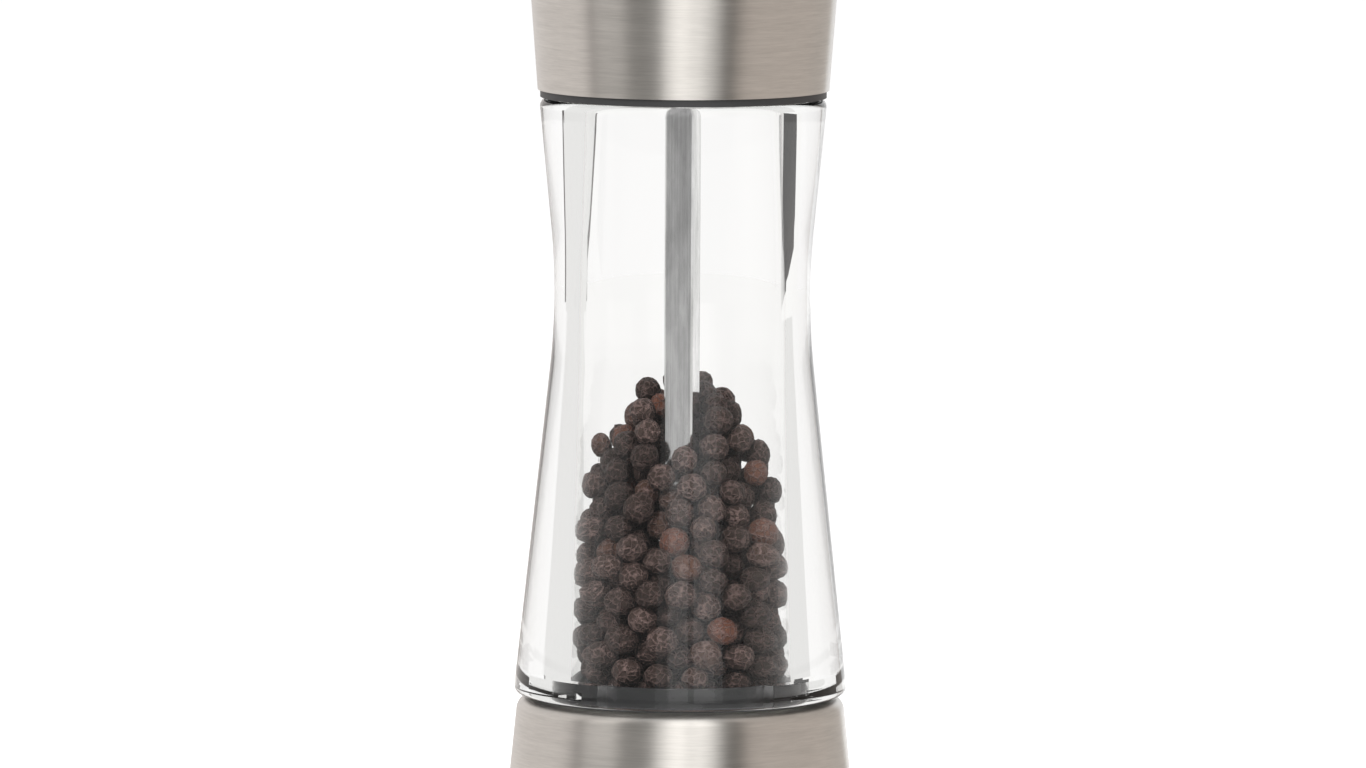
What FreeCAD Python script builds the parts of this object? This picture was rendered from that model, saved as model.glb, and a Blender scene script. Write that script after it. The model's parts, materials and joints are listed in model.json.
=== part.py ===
# Pepper mill: a thick clear waisted body, a brushed steel head that turns and lifts off,
# and a steel base with a conical grinder whose fineness is set by the grip ring at the foot.
# The mill stands on z = 0 with its axis on +Z, and the front is towards -Y. Lengths are millimetres.
import FreeCAD, Part
import itertools
import math
import os
import random
import re

import Sketcher

# Driving dimensions: alias, value and what it measures.
SIZES = [
    ("grip_height", 12.0, "height of the grip ring's steel skin above the table"),
    ("grip_gap", 0.6, "shadow gap between the grip ring and the collar"),
    ("base_height", 32.0, "table to the top of the steel collar"),
    ("gasket_thick", 0.4, "gasket between the base and the clear body"),
    ("body_height", 114.0, "clear body without its neck"),
    ("neck_height", 5.0, "clear neck that stands up inside the head"),
    ("rim_band", 1.6, "dark band between the clear body and the head's steel"),
    ("head_height", 42.0, "steel head, foot to crown"),
    ("body_foot_radius", 31.9, "clear body, outer radius at its foot"),
    ("waist_radius", 24.4, "clear body, outer radius at the waist"),
    ("waist_rise", 76.6, "waist above the clear body's foot"),
    ("waist_arc", 130.0, "radius of the curve through the waist"),
    ("body_top_radius", 27.45, "clear body, outer radius at its top"),
    ("body_edge", 1.6, "round on the clear body's outer edges"),
    ("neck_wall", 3.5, "wall of the clear neck at its mouth"),
    ("bore_foot_radius", 21.2, "pepper chamber, radius at its foot"),
    ("bore_top_radius", 18.5, "pepper chamber, radius at its mouth"),
    ("bayonet_turn", 80.0, "angle of the first bayonet lug from +X"),
    ("lug_reach", 3.4, "bayonet lug, length beyond the spigot"),
    ("lug_rise", 1.4, "bayonet lug, underside above the clear body's foot"),
    ("lug_height", 2.0, "bayonet lug, height"),
    ("lug_angle", 16.0, "bayonet lug, angle that it spans"),
    ("lug_clear", 0.3, "play round a bayonet lug"),
    ("slot_angle", 44.0, "angle that a bayonet slot spans"),
    ("slot_mouth_angle", 21.0, "angle of a bayonet slot's open end"),
    ("steel_wall", 0.7, "sheet thickness of the steel skins"),
    ("glue_gap", 0.1, "glue line under a steel skin"),
    ("collar_foot_radius", 33.0, "steel collar, outer radius at its foot"),
    ("collar_lean", 1.95, "steel collar, foot's radius beyond its shoulder's"),
    ("collar_round", 2.6, "round of the collar's shoulder"),
    ("collar_lip", 5.05, "collar's turned-in top, shoulder to hole"),
    ("gasket_clear", 1.0, "gasket's inner edge beyond the spigot"),
    ("gasket_inset", 3.3, "clear body's foot to the gasket's outer edge"),
    ("spout_clear", 0.2, "play between the spigot and the chamber"),
    ("spout_wall", 1.7, "wall of the spigot and of the throat under it"),
    ("spout_rise", 3.4, "spigot above the clear body's foot"),
    ("spout_lead", 0.8, "lead-in at the spigot's mouth"),
    ("funnel_floor", 1.0, "deck under the foot of the funnel"),
    ("funnel_height", 4.4, "height of the funnel that leads to the throat"),
    ("throat_step", 1.5, "throat's outside beyond the ring burr's mouth"),
    ("throat_drop", 6.0, "throat below the housing's deck"),
    ("deck_thick", 3.0, "deck of the base housing"),
    ("skirt_wall", 2.5, "wall of the skirt that guides the burr carrier"),
    ("skirt_drop", 16.0, "skirt below the deck"),
    ("skirt_gap", 2.6, "gap between that skirt and the sleeve round it"),
    ("grip_wall", 4.0, "grip ring, outside of its steel to the sleeve that it turns on"),
    ("guide_wall", 1.8, "wall of that sleeve"),
    ("guide_drop", 5.1, "sleeve below the collar's foot"),
    ("bead_height", 0.4, "snap bead on the sleeve, height"),
    ("bead_width", 1.4, "snap bead on the sleeve, width"),
    ("bead_drop", 2.2, "snap bead below the collar's foot"),
    ("run_clear", 0.3, "play between sliding plastic pieces"),
    ("turn_clear", 0.1, "play of the grip ring on its sleeve"),
    ("hub_radius", 7.6, "hub of the spider that carries the shaft"),
    ("hub_drop", 2.0, "hub's top below the top of the collar"),
    ("hub_length", 5.5, "length of the hub"),
    ("arm_width", 3.0, "width of a spider arm"),
    ("arm_height", 4.0, "height of a spider arm"),
    ("shaft_side", 5.6, "side of the square drive shaft"),
    ("shaft_turn", -16.0, "angle of the shaft's flats at rest"),
    ("shaft_edge", 0.35, "bevel on the shaft's corners"),
    ("shaft_foot", 8.0, "foot of the shaft above the table"),
    ("shaft_in_head", 25.6, "shaft above the clear body's shoulder"),
    ("shaft_fit", 0.06, "play between the shaft and what it drives"),
    ("bush_radius", 5.0, "journal of the shaft bush"),
    ("bush_collar_radius", 6.8, "collar of the shaft bush"),
    ("bush_collar_thick", 1.5, "thickness of that collar"),
    ("journal_fit", 0.06, "play of the bush in its hub"),
    ("washer_gap", 0.55, "thrust washer to the hub over it"),
    ("washer_thick", 1.9, "thrust washer over the cone burr"),
    ("washer_radius", 6.4, "radius of the thrust washer"),
    ("end_play", 0.05, "play between stacked pieces on the shaft"),
    ("cone_base", 6.5, "underside of the cone burr above the table"),
    ("cone_flare", 0.5, "cone burr's foot beyond the ring burr's mouth"),
    ("fine_taper", 1.55, "cone burr, fall of its radius over the fine teeth"),
    ("cone_top_radius", 6.3, "cone burr, radius at its top"),
    ("fine_height", 4.1, "height of the fine teeth"),
    ("burr_gap", 0.35, "gap between the burrs at the finest setting"),
    ("ring_drop", 1.5, "ring burr's top below the cone burr's"),
    ("ring_wall", 4.0, "ring burr, wall at its mouth"),
    ("flange_thick", 1.95, "ring burr, thickness of its screw flange"),
    ("flange_inset", 0.6, "ring burr, screw flange inside the carrier's wall"),
    ("fine_depth", 0.9, "depth of a fine tooth's valley"),
    ("fine_width", 1.7, "width of a fine tooth's valley"),
    ("fine_skew", 12.0, "angle that a fine tooth leans by over its height"),
    ("flute_depth", 1.9, "depth of a breaking flute at its deep end"),
    ("flute_width", 4.2, "width of a breaking flute"),
    ("flute_skew", 34.0, "angle that a breaking flute leans by"),
    ("tooth_over", 0.5, "how far a cutter runs past a burr's face"),
    ("carrier_fit", 0.1, "play of the ring burr in its carrier"),
    ("carrier_wall", 5.2, "wall of the burr carrier"),
    ("carrier_lip", 1.1, "lip of the carrier over the ring burr"),
    ("lip_clear", 0.8, "play between that lip and the throat"),
    ("key_reach", 1.6, "carrier key, length beyond the carrier"),
    ("key_width", 4.0, "carrier key, width"),
    ("key_length", 7.5, "carrier key, height"),
    ("foot_width", 5.0, "carrier foot, width"),
    ("foot_reach", 4.6, "carrier foot, length beyond the carrier"),
    ("foot_thick", 2.5, "carrier foot, thickness of its arm"),
    ("select_angle", 100.0, "turn of the grip ring from finest to coarsest"),
    ("burr_lift", 1.5, "rise of the ring burr over that turn"),
    ("ramp_margin", 7.0, "angle of ramp beyond a foot's middle at each end"),
    ("ramp_low", 6.0, "low end of a cam ramp above the table"),
    ("ledge_top", 5.5, "ledge that carries the ramps, top face"),
    ("ledge_thick", 3.0, "thickness of that ledge"),
    ("ledge_clear", 1.1, "play between the ledge and the ring burr's flange"),
    ("cam_clear", 0.1, "play between a carrier foot and its ramp"),
    ("foot_rim", 0.6, "plastic foot that stands below the steel skin"),
    ("foot_rim_width", 2.6, "width of that foot"),
    ("skin_lip", 2.4, "turned-in top of the grip ring's steel skin"),
    ("skin_round", 1.0, "round of the skin's top edge"),
    ("click_pitch", 20.0, "angle between two click notches"),
    ("click_count", 6, "number of grind settings"),
    ("click_depth", 0.4, "depth of a click notch"),
    ("click_width", 3.0, "width of a click notch"),
    ("leaf_thick", 0.4, "sheet thickness of the click spring"),
    ("leaf_bow", 18.0, "radius that the click spring is bowed to"),
    ("leaf_span", 14.0, "length of the click spring across its bow"),
    ("leaf_height", 2.6, "height of the click spring"),
    ("wire_radius", 0.6, "wire of the carrier spring"),
    ("coil_clear", 1.0, "throat to the inside of the carrier spring"),
    ("coil_turns", 3.0, "turns of the carrier spring"),
    ("screw_radius", 0.95, "shank of a carrier screw"),
    ("screw_length", 7.0, "shank length of a carrier screw"),
    ("screw_head_radius", 1.75, "head of a carrier screw"),
    ("screw_head_height", 1.1, "head height of a carrier screw"),
    ("screw_clear", 0.05, "play round a screw shank"),
    ("end_screw_radius", 1.5, "shank of the screw that holds the cone burr"),
    ("end_screw_length", 9.0, "shank length of that screw"),
    ("end_screw_head_radius", 2.8, "head of that screw"),
    ("end_screw_head_height", 1.9, "head height of that screw"),
    ("end_washer_radius", 4.8, "washer under the cone burr"),
    ("end_washer_thick", 1.0, "thickness of that washer"),
    ("head_foot_radius", 27.75, "steel head, outer radius at its foot"),
    ("head_brim_radius", 30.75, "steel head, outer radius at its brim"),
    ("head_dome", 2.2, "rise of the head's crown above its brim"),
    ("head_round", 4.5, "round of the head's brim"),
    ("core_wall", 2.2, "wall of the head's moulded core"),
    ("core_plate", 2.5, "plate of that core"),
    ("core_depth", 33.0, "core's wall inside the steel head"),
    ("band_inset", 0.5, "dark band behind the head's steel edge"),
    ("rim_lift", 0.2, "head's flange above the clear shoulder"),
    ("neck_clear", 0.4, "play round the clear neck"),
    ("neck_headroom", 0.6, "head's plate above the clear neck"),
    ("boss_radius", 7.5, "boss with the square drive socket"),
    ("boss_drop", 3.0, "boss below the head's plate"),
    ("boss_roof", 1.5, "boss above the end of its socket"),
    ("socket_end_gap", 2.5, "end of the socket above the shaft"),
    ("socket_fit", 0.1, "play of the shaft in its socket"),
    ("rib_thick", 1.6, "thickness of a rib in the head"),
    ("rib_height", 11.0, "height of a rib in the head"),
    ("glide_clear", 1.4, "glide ring's inner edge beyond the clear neck"),
    ("glide_width", 2.3, "glide ring, inner edge to outer edge"),
    ("glide_thick", 1.0, "thickness of the glide ring"),
    ("glide_play", 0.05, "play under and over the glide ring"),
    ("clip_wire", 0.6, "wire radius of the clip that grips the shaft"),
    ("clip_rise", 13.0, "clip above the head's plate"),
    ("clip_arm", 16.0, "length of a clip arm"),
    ("clip_slot_clear", 0.2, "play round the clip in its slots"),
    ("pepper_small", 4.8, "smallest peppercorn"),
    ("pepper_large", 5.7, "largest peppercorn"),
    ("pepper_gap", 0.06, "least gap between peppercorns"),
    ("heap_peak", 55.0, "top of the pepper heap at the shaft, above the clear body's foot"),
    ("heap_fall", 14.0, "fall of the heap from the shaft to the wall"),
    ("heap_lean", 22.0, "rise of the heap towards the wall behind the shaft, and its drop in front"),
]

# Places that follow from the driving dimensions, each written with the names above or the ones before it.
DERIVED = {
    "body_base": "base_height + gasket_thick",
    "body_top": "body_base + body_height",
    "neck_top": "body_top + neck_height",
    "head_foot": "body_top + rim_band",
    "head_top": "head_foot + head_height",
    "collar_foot": "grip_height + grip_gap",
    "collar_top_radius": "collar_foot_radius - collar_lean",
    "collar_lip_radius": "collar_top_radius - collar_lip",
    "spout_radius": "bore_foot_radius - spout_clear",
    "spout_bore": "spout_radius - spout_wall",
    "spout_top": "body_base + spout_rise",
    "neck_radius": "bore_top_radius + neck_wall",
    "deck_foot": "base_height - deck_thick",
    "skirt_foot": "deck_foot - skirt_drop",
    "funnel_foot": "deck_foot + funnel_floor",
    "funnel_top": "funnel_foot + funnel_height",
    "throat_foot": "deck_foot - throat_drop",
    "lug_foot": "body_base + lug_rise",
    "lug_top": "lug_foot + lug_height",
    "lug_tip": "spout_radius + lug_reach",
    "guide_radius": "collar_foot_radius - grip_wall",
    "guide_bore": "guide_radius - guide_wall",
    "skirt_radius": "guide_bore - skirt_gap",
    "skirt_bore": "skirt_radius - skirt_wall",
    "carrier_radius": "skirt_bore - run_clear",
    "carrier_bore": "carrier_radius - carrier_wall",
    "ring_radius": "carrier_bore - carrier_fit",
    "ring_mouth_radius": "ring_radius - ring_wall",
    "flange_radius": "carrier_radius - flange_inset",
    "screw_circle": "(carrier_bore + flange_radius) / 2",
    "cone_radius": "ring_mouth_radius + cone_flare",
    "cone_break_radius": "cone_radius - fine_taper",
    "throat_radius": "ring_mouth_radius + throat_step",
    "throat_bore": "throat_radius - spout_wall",
    "hub_top": "base_height - hub_drop",
    "hub_foot": "hub_top - hub_length",
    "washer_top": "hub_foot - washer_gap",
    "washer_foot": "washer_top - washer_thick",
    "cone_top": "washer_foot - end_play",
    "ring_top": "cone_top - ring_drop",
    "fine_top": "cone_base + fine_height",
    "flange_top": "cone_base + flange_thick",
    "carrier_top": "ring_top + carrier_fit + carrier_lip",
    "carrier_foot": "flange_top + end_play",
    "key_tip": "carrier_radius + key_reach",
    "foot_tip": "carrier_radius + foot_reach",
    "foot_inner": "flange_radius + 5 * run_clear",
    "ledge_bore": "flange_radius + ledge_clear",
    "guide_foot": "collar_foot - guide_drop",
    "bead_top": "collar_foot - bead_drop",
    "bead_foot": "bead_top - bead_width",
    "grip_bore": "guide_radius + turn_clear",
    "hub_bore": "bush_radius + journal_fit",
    "arm_foot": "hub_foot + (hub_length - arm_height) / 2",
    "bush_top": "hub_top + end_play + bush_collar_thick",
    "bush_foot": "washer_top + end_play",
    "shaft_top": "body_top + shaft_in_head",
    "hole_side": "shaft_side + 2 * shaft_fit",
    "ramp_pitch": "burr_lift * 360 / select_angle",
    "ramp_angle": "select_angle + 2 * ramp_margin",
    "foot_half_angle": "asin(foot_width / 2 / foot_inner)",
    "cam_foot": "ramp_low + ramp_pitch * (ramp_margin + foot_half_angle / 1 deg) / 360 + cam_clear",
    "wall_foot_radius": "collar_foot_radius - steel_wall - glue_gap",
    "wall_top": "base_height - steel_wall - collar_round",
    "wall_lean": "collar_lean / (base_height - collar_foot)",
    "wall_top_radius": "wall_foot_radius - wall_lean * (wall_top - collar_foot)",
    "skin_inner": "collar_foot_radius - steel_wall",
    "skin_top_inner": "skin_inner - skin_lip",
    "plate_foot": "neck_top + neck_headroom",
    "plate_top": "plate_foot + core_plate",
    "flange_foot": "body_top + rim_lift",
    "glide_inner_radius": "neck_radius + glide_clear",
    "socket_end": "shaft_top + socket_end_gap",
    "boss_top": "socket_end + boss_roof",
    "head_lean": "(head_brim_radius - head_foot_radius) / (head_height - head_dome)",
    "core_foot_radius": "head_foot_radius - steel_wall - glue_gap",
    "core_top": "head_foot + core_depth",
    "core_top_radius": "core_foot_radius + head_lean * core_depth",
    "clip_offset": "shaft_side / 2 + socket_fit + clip_wire",
    "clip_level": "plate_top + clip_rise",
    "coil_radius": "throat_radius + coil_clear + wire_radius",
    "coil_foot": "carrier_top + wire_radius + end_play",
    "coil_top": "deck_foot - wire_radius - end_play",
    "leaf_foot": "guide_foot + run_clear",
    "leaf_crown": "grip_bore - turn_clear",
    "screw_foot": "cone_base - end_play",
    "end_washer_foot": "shaft_foot - end_play - end_washer_thick",
    "end_screw_foot": "end_washer_foot - end_play",
}

FULL_TURN = 360
FOLD_COUNT = 3  # bayonet lugs, spider arms, keys, feet, ramps and carrier screws all come in threes
FINE_TOOTH_COUNT = 32
FLUTE_COUNT = 7
RING_FLUTE_COUNT = 9
RIB_COUNT = 6
PEPPER_SEED = 5
PEPPER_TRIES = 150
PEPPER_ROLLS = 150
PEPPER_MISSES = 12

doc = FreeCAD.newDocument("pepper_mill")
sheet = doc.addObject("Spreadsheet::Sheet", "Sizes")
ALIASES = {alias for alias, _, _ in SIZES}
for row, (alias, value, note) in enumerate(SIZES, start=1):
    sheet.set(f"A{row}", alias)
    sheet.set(f"B{row}", str(value))
    sheet.setAlias(f"B{row}", alias)
    sheet.set(f"C{row}", note)
doc.recompute()


def formula(text):
    """A text written with the names above, as an expression on the sheet's cells."""
    def swap(match):
        word = match[0]
        if word in ALIASES:
            return f"Sizes.{word}"
        if word in DERIVED:
            return f"({formula(DERIVED[word])})"
        return word
    return re.sub(r"[a-z_]{2,}", swap, str(text))


def number(text):
    """The present value of such a text."""
    value = sheet.evalExpression(formula(text))
    return float(getattr(value, "Value", value))


def bind(thing, prop, text):
    """Ties a property to the sheet."""
    thing.setExpression(prop, formula(text))


def new_body(label):
    body = doc.addObject("PartDesign::Body", label)
    body.Label = label
    return body


def origin_feature(body, role):
    return next(f for f in body.Origin.OriginFeatures if f.Role == role)


def new_sketch(body, name, plane="XZ_Plane", level=None, turn=None):
    """A sketch on one of the body's origin planes. An XY sketch may be raised to a level,
    and either kind may be turned about the mill's axis by an angle."""
    sketch = body.newObject("Sketcher::SketchObject", f"{body.Name}_{name}")
    sketch.AttachmentSupport = [(origin_feature(body, plane), "")]
    sketch.MapMode = "FlatFace"
    if turn is not None:
        local_axis = FreeCAD.Vector(0, 1, 0) if plane == "XZ_Plane" else FreeCAD.Vector(0, 0, 1)
        sketch.AttachmentOffset = FreeCAD.Placement(
            FreeCAD.Vector(), FreeCAD.Rotation(local_axis, number(turn))
        )
        bind(sketch, "AttachmentOffset.Rotation.Angle", f"{turn} * 1 deg")
    if level is not None:
        bind(sketch, "AttachmentOffset.Base.z", level)
    return sketch


def pin_point(sketch, edge, end, corner):
    """Ties one point of a sketch to a corner given as two texts."""
    for kind, text, axis in zip(("DistanceX", "DistanceY"), corner, (-2, -1)):
        value = number(text)
        if abs(value) < 1e-9:
            sketch.addConstraint(Sketcher.Constraint("PointOnObject", edge, end, axis))
            continue
        index = sketch.addConstraint(Sketcher.Constraint(kind, -1, 1, edge, end, value))
        bind(sketch, f"Constraints[{index}]", text)


def vector(corner):
    return FreeCAD.Vector(number(corner[0]), number(corner[1]), 0)


def polygon(sketch, corners):
    """Straight edges through the corners, closed, every corner tied to the sheet."""
    points = [vector(c) for c in corners]
    count = len(points)
    for i in range(count):
        sketch.addGeometry(Part.LineSegment(points[i], points[(i + 1) % count]), False)
    for i in range(count):
        sketch.addConstraint(Sketcher.Constraint("Coincident", i, 2, (i + 1) % count, 1))
    for i, corner in enumerate(corners):
        pin_point(sketch, i, 1, corner)
    return sketch


def rectangle(sketch, low, high):
    """An upright rectangle between two corners."""
    return polygon(sketch, [low, (high[0], low[1]), high, (low[0], high[1])])


def block(sketch, near, far, width):
    """A rectangle from near to far along the sketch's first axis, centred across it."""
    half = f"({width}) / 2"
    return polygon(
        sketch, [(near, f"-{half}"), (far, f"-{half}"), (far, half), (near, half)]
    )


def square(sketch, side):
    """A square centred on the axis."""
    return block(sketch, f"-({side}) / 2", f"({side}) / 2", side)


def circle(sketch, centre, radius):
    """One full circle, its centre and radius tied to the sheet."""
    edge = sketch.addGeometry(
        Part.Circle(vector(centre), FreeCAD.Vector(0, 0, 1), number(radius)), False
    )
    pin_point(sketch, edge, 3, centre)
    index = sketch.addConstraint(Sketcher.Constraint("Radius", edge, number(radius)))
    bind(sketch, f"Constraints[{index}]", radius)
    return sketch


def turned(body, sketch, kind="Revolution", angle=None):
    """A profile turned about the mill's axis: all the way round, or by an angle centred on its plane."""
    feature = body.newObject(f"PartDesign::{kind}", f"{sketch.Name}_turned")
    feature.Profile = sketch
    feature.ReferenceAxis = (sketch, ["V_Axis"])
    feature.Angle = FULL_TURN
    if angle is not None:
        feature.Midplane = True
        bind(feature, "Angle", f"{angle} * 1 deg")
    return feature


def raised(body, sketch, length, kind="Pad", both_ways=False):
    """A profile raised along +Z from an XY sketch, or out both ways from an XZ one."""
    feature = body.newObject(f"PartDesign::{kind}", f"{sketch.Name}_raised")
    feature.Profile = sketch
    bind(feature, "Length", length)
    if both_ways:
        feature.SideType = "Symmetric"
    elif kind == "Pocket":
        feature.Reversed = True
    return feature


def round_the_axis(body, features, count, angle=None):
    """Copies features evenly round the mill's axis, over a full turn or a given angle."""
    pattern = body.newObject("PartDesign::PolarPattern", f"{features[0].Name}_copies")
    pattern.Originals = features
    pattern.Axis = (origin_feature(body, "Z_Axis"), [""])
    if angle is None:
        pattern.Angle = FULL_TURN
        pattern.Occurrences = count
    else:
        bind(pattern, "Angle", f"{angle} * 1 deg")
        bind(pattern, "Occurrences", count)
    body.Tip = pattern
    return pattern


def ring_edge(feature, radius, level):
    """The name of the round edge of that radius at that level."""
    wanted = (number(radius), number(level))
    for i, edge in enumerate(feature.Shape.Edges, start=1):
        if edge.Degenerated:
            continue
        curve = edge.Curve
        if not isinstance(curve, Part.Circle) or abs(curve.Axis.z) < 0.99:
            continue
        if math.dist(wanted, (curve.Radius, curve.Center.z)) < 1e-4:
            return f"Edge{i}"
    raise ValueError(f"{feature.Label} has no edge of radius {wanted[0]} at {wanted[1]}")


def rounded(body, feature, radius, *rings):
    """A fillet on round edges, each given as its radius and level."""
    doc.recompute()
    fillet = body.newObject("PartDesign::Fillet", f"{feature.Name}_round")
    fillet.Base = (feature, [ring_edge(feature, *ring) for ring in rings])
    bind(fillet, "Radius", radius)
    return fillet


def flat_ring(label, inner, outer, foot, top):
    """A plain turned ring."""
    body = new_body(label)
    turned(body, rectangle(new_sketch(body, "profile"), (inner, foot), (outer, top)))
    return body


def tangent_point(outside, centre, radius, side):
    """Where the line from an outside point touches a circle, on one side of the line between them."""
    gap = centre - outside
    reach = math.sqrt(gap.Length ** 2 - radius ** 2)
    lean = side * math.asin(radius / gap.Length)
    heading = math.atan2(gap.y, gap.x) + lean
    return outside + FreeCAD.Vector(math.cos(heading), math.sin(heading), 0) * reach


def waisted_outline(sketch):
    """The clear body's section: straight flanks that meet the waist's arc at a tangent,
    a shoulder, the neck, and the drafted bore."""
    foot = ("body_foot_radius", "body_base")
    top = ("body_top_radius", "body_top")
    middle = ("waist_radius + waist_arc", "body_base + waist_rise")
    centre = vector(middle)
    arc_radius = number("waist_arc")
    low = tangent_point(vector(foot), centre, arc_radius, 1)
    high = tangent_point(vector(top), centre, arc_radius, -1)
    low_angle = math.atan2(low.y - centre.y, low.x - centre.x) % math.tau
    high_angle = math.atan2(high.y - centre.y, high.x - centre.x) % math.tau
    chain = [
        top,
        ("neck_radius", "body_top"),
        ("neck_radius", "neck_top"),
        ("bore_top_radius", "neck_top"),
        ("bore_foot_radius", "body_base"),
        foot,
    ]
    points = [vector(c) for c in chain]
    for start, end in zip(points, points[1:]):
        sketch.addGeometry(Part.LineSegment(start, end), False)
    last = len(points) - 2
    lower = sketch.addGeometry(Part.LineSegment(points[-1], low), False)
    round_part = Part.Circle(centre, FreeCAD.Vector(0, 0, 1), arc_radius)
    waist = sketch.addGeometry(Part.ArcOfCircle(round_part, high_angle, low_angle), False)
    upper = sketch.addGeometry(Part.LineSegment(high, points[0]), False)
    for i in range(last):
        sketch.addConstraint(Sketcher.Constraint("Coincident", i, 2, i + 1, 1))
    sketch.addConstraint(Sketcher.Constraint("Coincident", last, 2, lower, 1))
    sketch.addConstraint(Sketcher.Constraint("Tangent", lower, 2, waist, 2))
    sketch.addConstraint(Sketcher.Constraint("Tangent", waist, 1, upper, 1))
    sketch.addConstraint(Sketcher.Constraint("Coincident", upper, 2, 0, 1))
    for i, corner in enumerate(chain[:-1]):
        pin_point(sketch, i, 1, corner)
    pin_point(sketch, lower, 1, foot)
    pin_point(sketch, waist, 3, middle)
    index = sketch.addConstraint(Sketcher.Constraint("Radius", waist, arc_radius))
    bind(sketch, f"Constraints[{index}]", "waist_arc")
    return sketch


def make_clear_body():
    """The thick clear body, with three L-shaped bayonet slots at the foot of its bore."""
    body = new_body("clear_body")
    solid = turned(body, waisted_outline(new_sketch(body, "profile")))
    rounded(
        body, solid, "body_edge", ("body_foot_radius", "body_base"), ("body_top_radius", "body_top")
    )
    slot_middle = "bayonet_turn + (slot_angle - lug_angle) / 2 - lug_clear * 5"
    mouth_middle = f"{slot_middle} + (slot_angle - slot_mouth_angle) / 2"
    inner = "bore_foot_radius - spout_wall"
    outer = "lug_tip + lug_clear"
    roof = "lug_top + lug_clear"
    slot = rectangle(
        new_sketch(body, "slot", turn=f"({slot_middle})"), (inner, "lug_foot - lug_clear"), (outer, roof)
    )
    mouth = rectangle(
        new_sketch(body, "mouth", turn=f"({mouth_middle})"), (inner, "body_base - lug_rise"), (outer, roof)
    )
    cuts = [
        turned(body, slot, "Groove", "slot_angle"),
        turned(body, mouth, "Groove", "slot_mouth_angle"),
    ]
    round_the_axis(body, cuts, FOLD_COUNT)
    return body


def make_gasket():
    """The flat gasket that the clear body sits on."""
    return flat_ring(
        "base_gasket",
        "spout_radius + gasket_clear",
        "body_foot_radius - gasket_inset",
        "base_height",
        "body_base",
    )


def make_collar():
    """The steel collar: a flared wall, a rounded shoulder and a turned-in top."""
    body = new_body("base_collar")
    under = "base_height - steel_wall"
    inner_top = "collar_top_radius - steel_wall"
    profile = polygon(
        new_sketch(body, "profile"),
        [
            ("collar_foot_radius", "collar_foot"),
            ("collar_top_radius", "base_height"),
            ("collar_lip_radius", "base_height"),
            ("collar_lip_radius", under),
            (inner_top, under),
            ("collar_foot_radius - steel_wall", "collar_foot"),
        ],
    )
    skin = turned(body, profile)
    outside = rounded(body, skin, "collar_round", ("collar_top_radius", "base_height"))
    rounded(body, outside, "collar_round - steel_wall", (inner_top, under))
    return body


def make_housing():
    """The moulded base housing: deck, spigot with bayonet lugs, funnel and throat, skirt for the burr
    carrier, sleeve for the grip ring, and the spider that carries the shaft."""
    body = new_body("base_housing")
    seat = "base_height - steel_wall"
    lip = "collar_lip_radius - glue_gap"
    bead = "guide_radius + bead_height"
    profile = polygon(
        new_sketch(body, "profile"),
        [
            ("wall_foot_radius", "collar_foot"),
            ("wall_top_radius", "wall_top"),
            ("wall_top_radius - collar_round", seat),
            (lip, seat),
            (lip, "base_height"),
            ("spout_radius", "base_height"),
            ("spout_radius", "spout_top"),
            ("spout_radius - spout_wall / 2", "spout_top"),
            ("spout_bore", "spout_top - spout_lead"),
            ("spout_bore", "funnel_top"),
            ("throat_bore", "funnel_foot"),
            ("throat_bore", "throat_foot"),
            ("throat_radius", "throat_foot"),
            ("throat_radius", "deck_foot"),
            ("skirt_bore", "deck_foot"),
            ("skirt_bore", "skirt_foot"),
            ("skirt_radius", "skirt_foot"),
            ("skirt_radius", "deck_foot"),
            ("guide_bore", "deck_foot"),
            ("guide_bore", "guide_foot"),
            ("guide_radius", "guide_foot"),
            ("guide_radius", "bead_foot"),
            (bead, "bead_foot + bead_height"),
            (bead, "bead_top - bead_height"),
            ("guide_radius", "bead_top"),
            ("guide_radius", "collar_foot"),
        ],
    )
    turned(body, profile)
    lug = rectangle(
        new_sketch(body, "lug", turn="bayonet_turn"),
        ("spout_radius - spout_wall / 2", "lug_foot"),
        ("lug_tip", "lug_top"),
    )
    round_the_axis(body, [turned(body, lug, angle="lug_angle")], FOLD_COUNT)
    keyway = block(
        new_sketch(body, "keyway", "XY_Plane", "skirt_foot"),
        "skirt_bore - run_clear",
        "key_tip + run_clear",
        "key_width + 2 * run_clear",
    )
    round_the_axis(body, [raised(body, keyway, "skirt_drop", "Pocket")], FOLD_COUNT)
    arm = block(
        new_sketch(body, "arm", "XY_Plane", "arm_foot", "180 / 3"),
        "(hub_bore + hub_radius) / 2",
        "throat_radius - spout_wall / 2",
        "arm_width",
    )
    round_the_axis(body, [raised(body, arm, "arm_height")], FOLD_COUNT)
    hub = rectangle(new_sketch(body, "hub"), ("hub_bore", "hub_foot"), ("hub_radius", "hub_top"))
    turned(body, hub)
    window = polygon(
        new_sketch(body, "window", "XY_Plane", "guide_foot"),
        [
            ("-leaf_span / 2 - run_clear", "guide_bore - leaf_thick * 4"),
            ("leaf_span / 2 + run_clear", "guide_bore - leaf_thick * 4"),
            ("leaf_span / 2 + run_clear", "guide_radius + bead_height + leaf_thick"),
            ("-leaf_span / 2 - run_clear", "guide_radius + bead_height + leaf_thick"),
        ],
    )
    raised(body, window, "leaf_height + 2 * run_clear", "Pocket")
    return body


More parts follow.
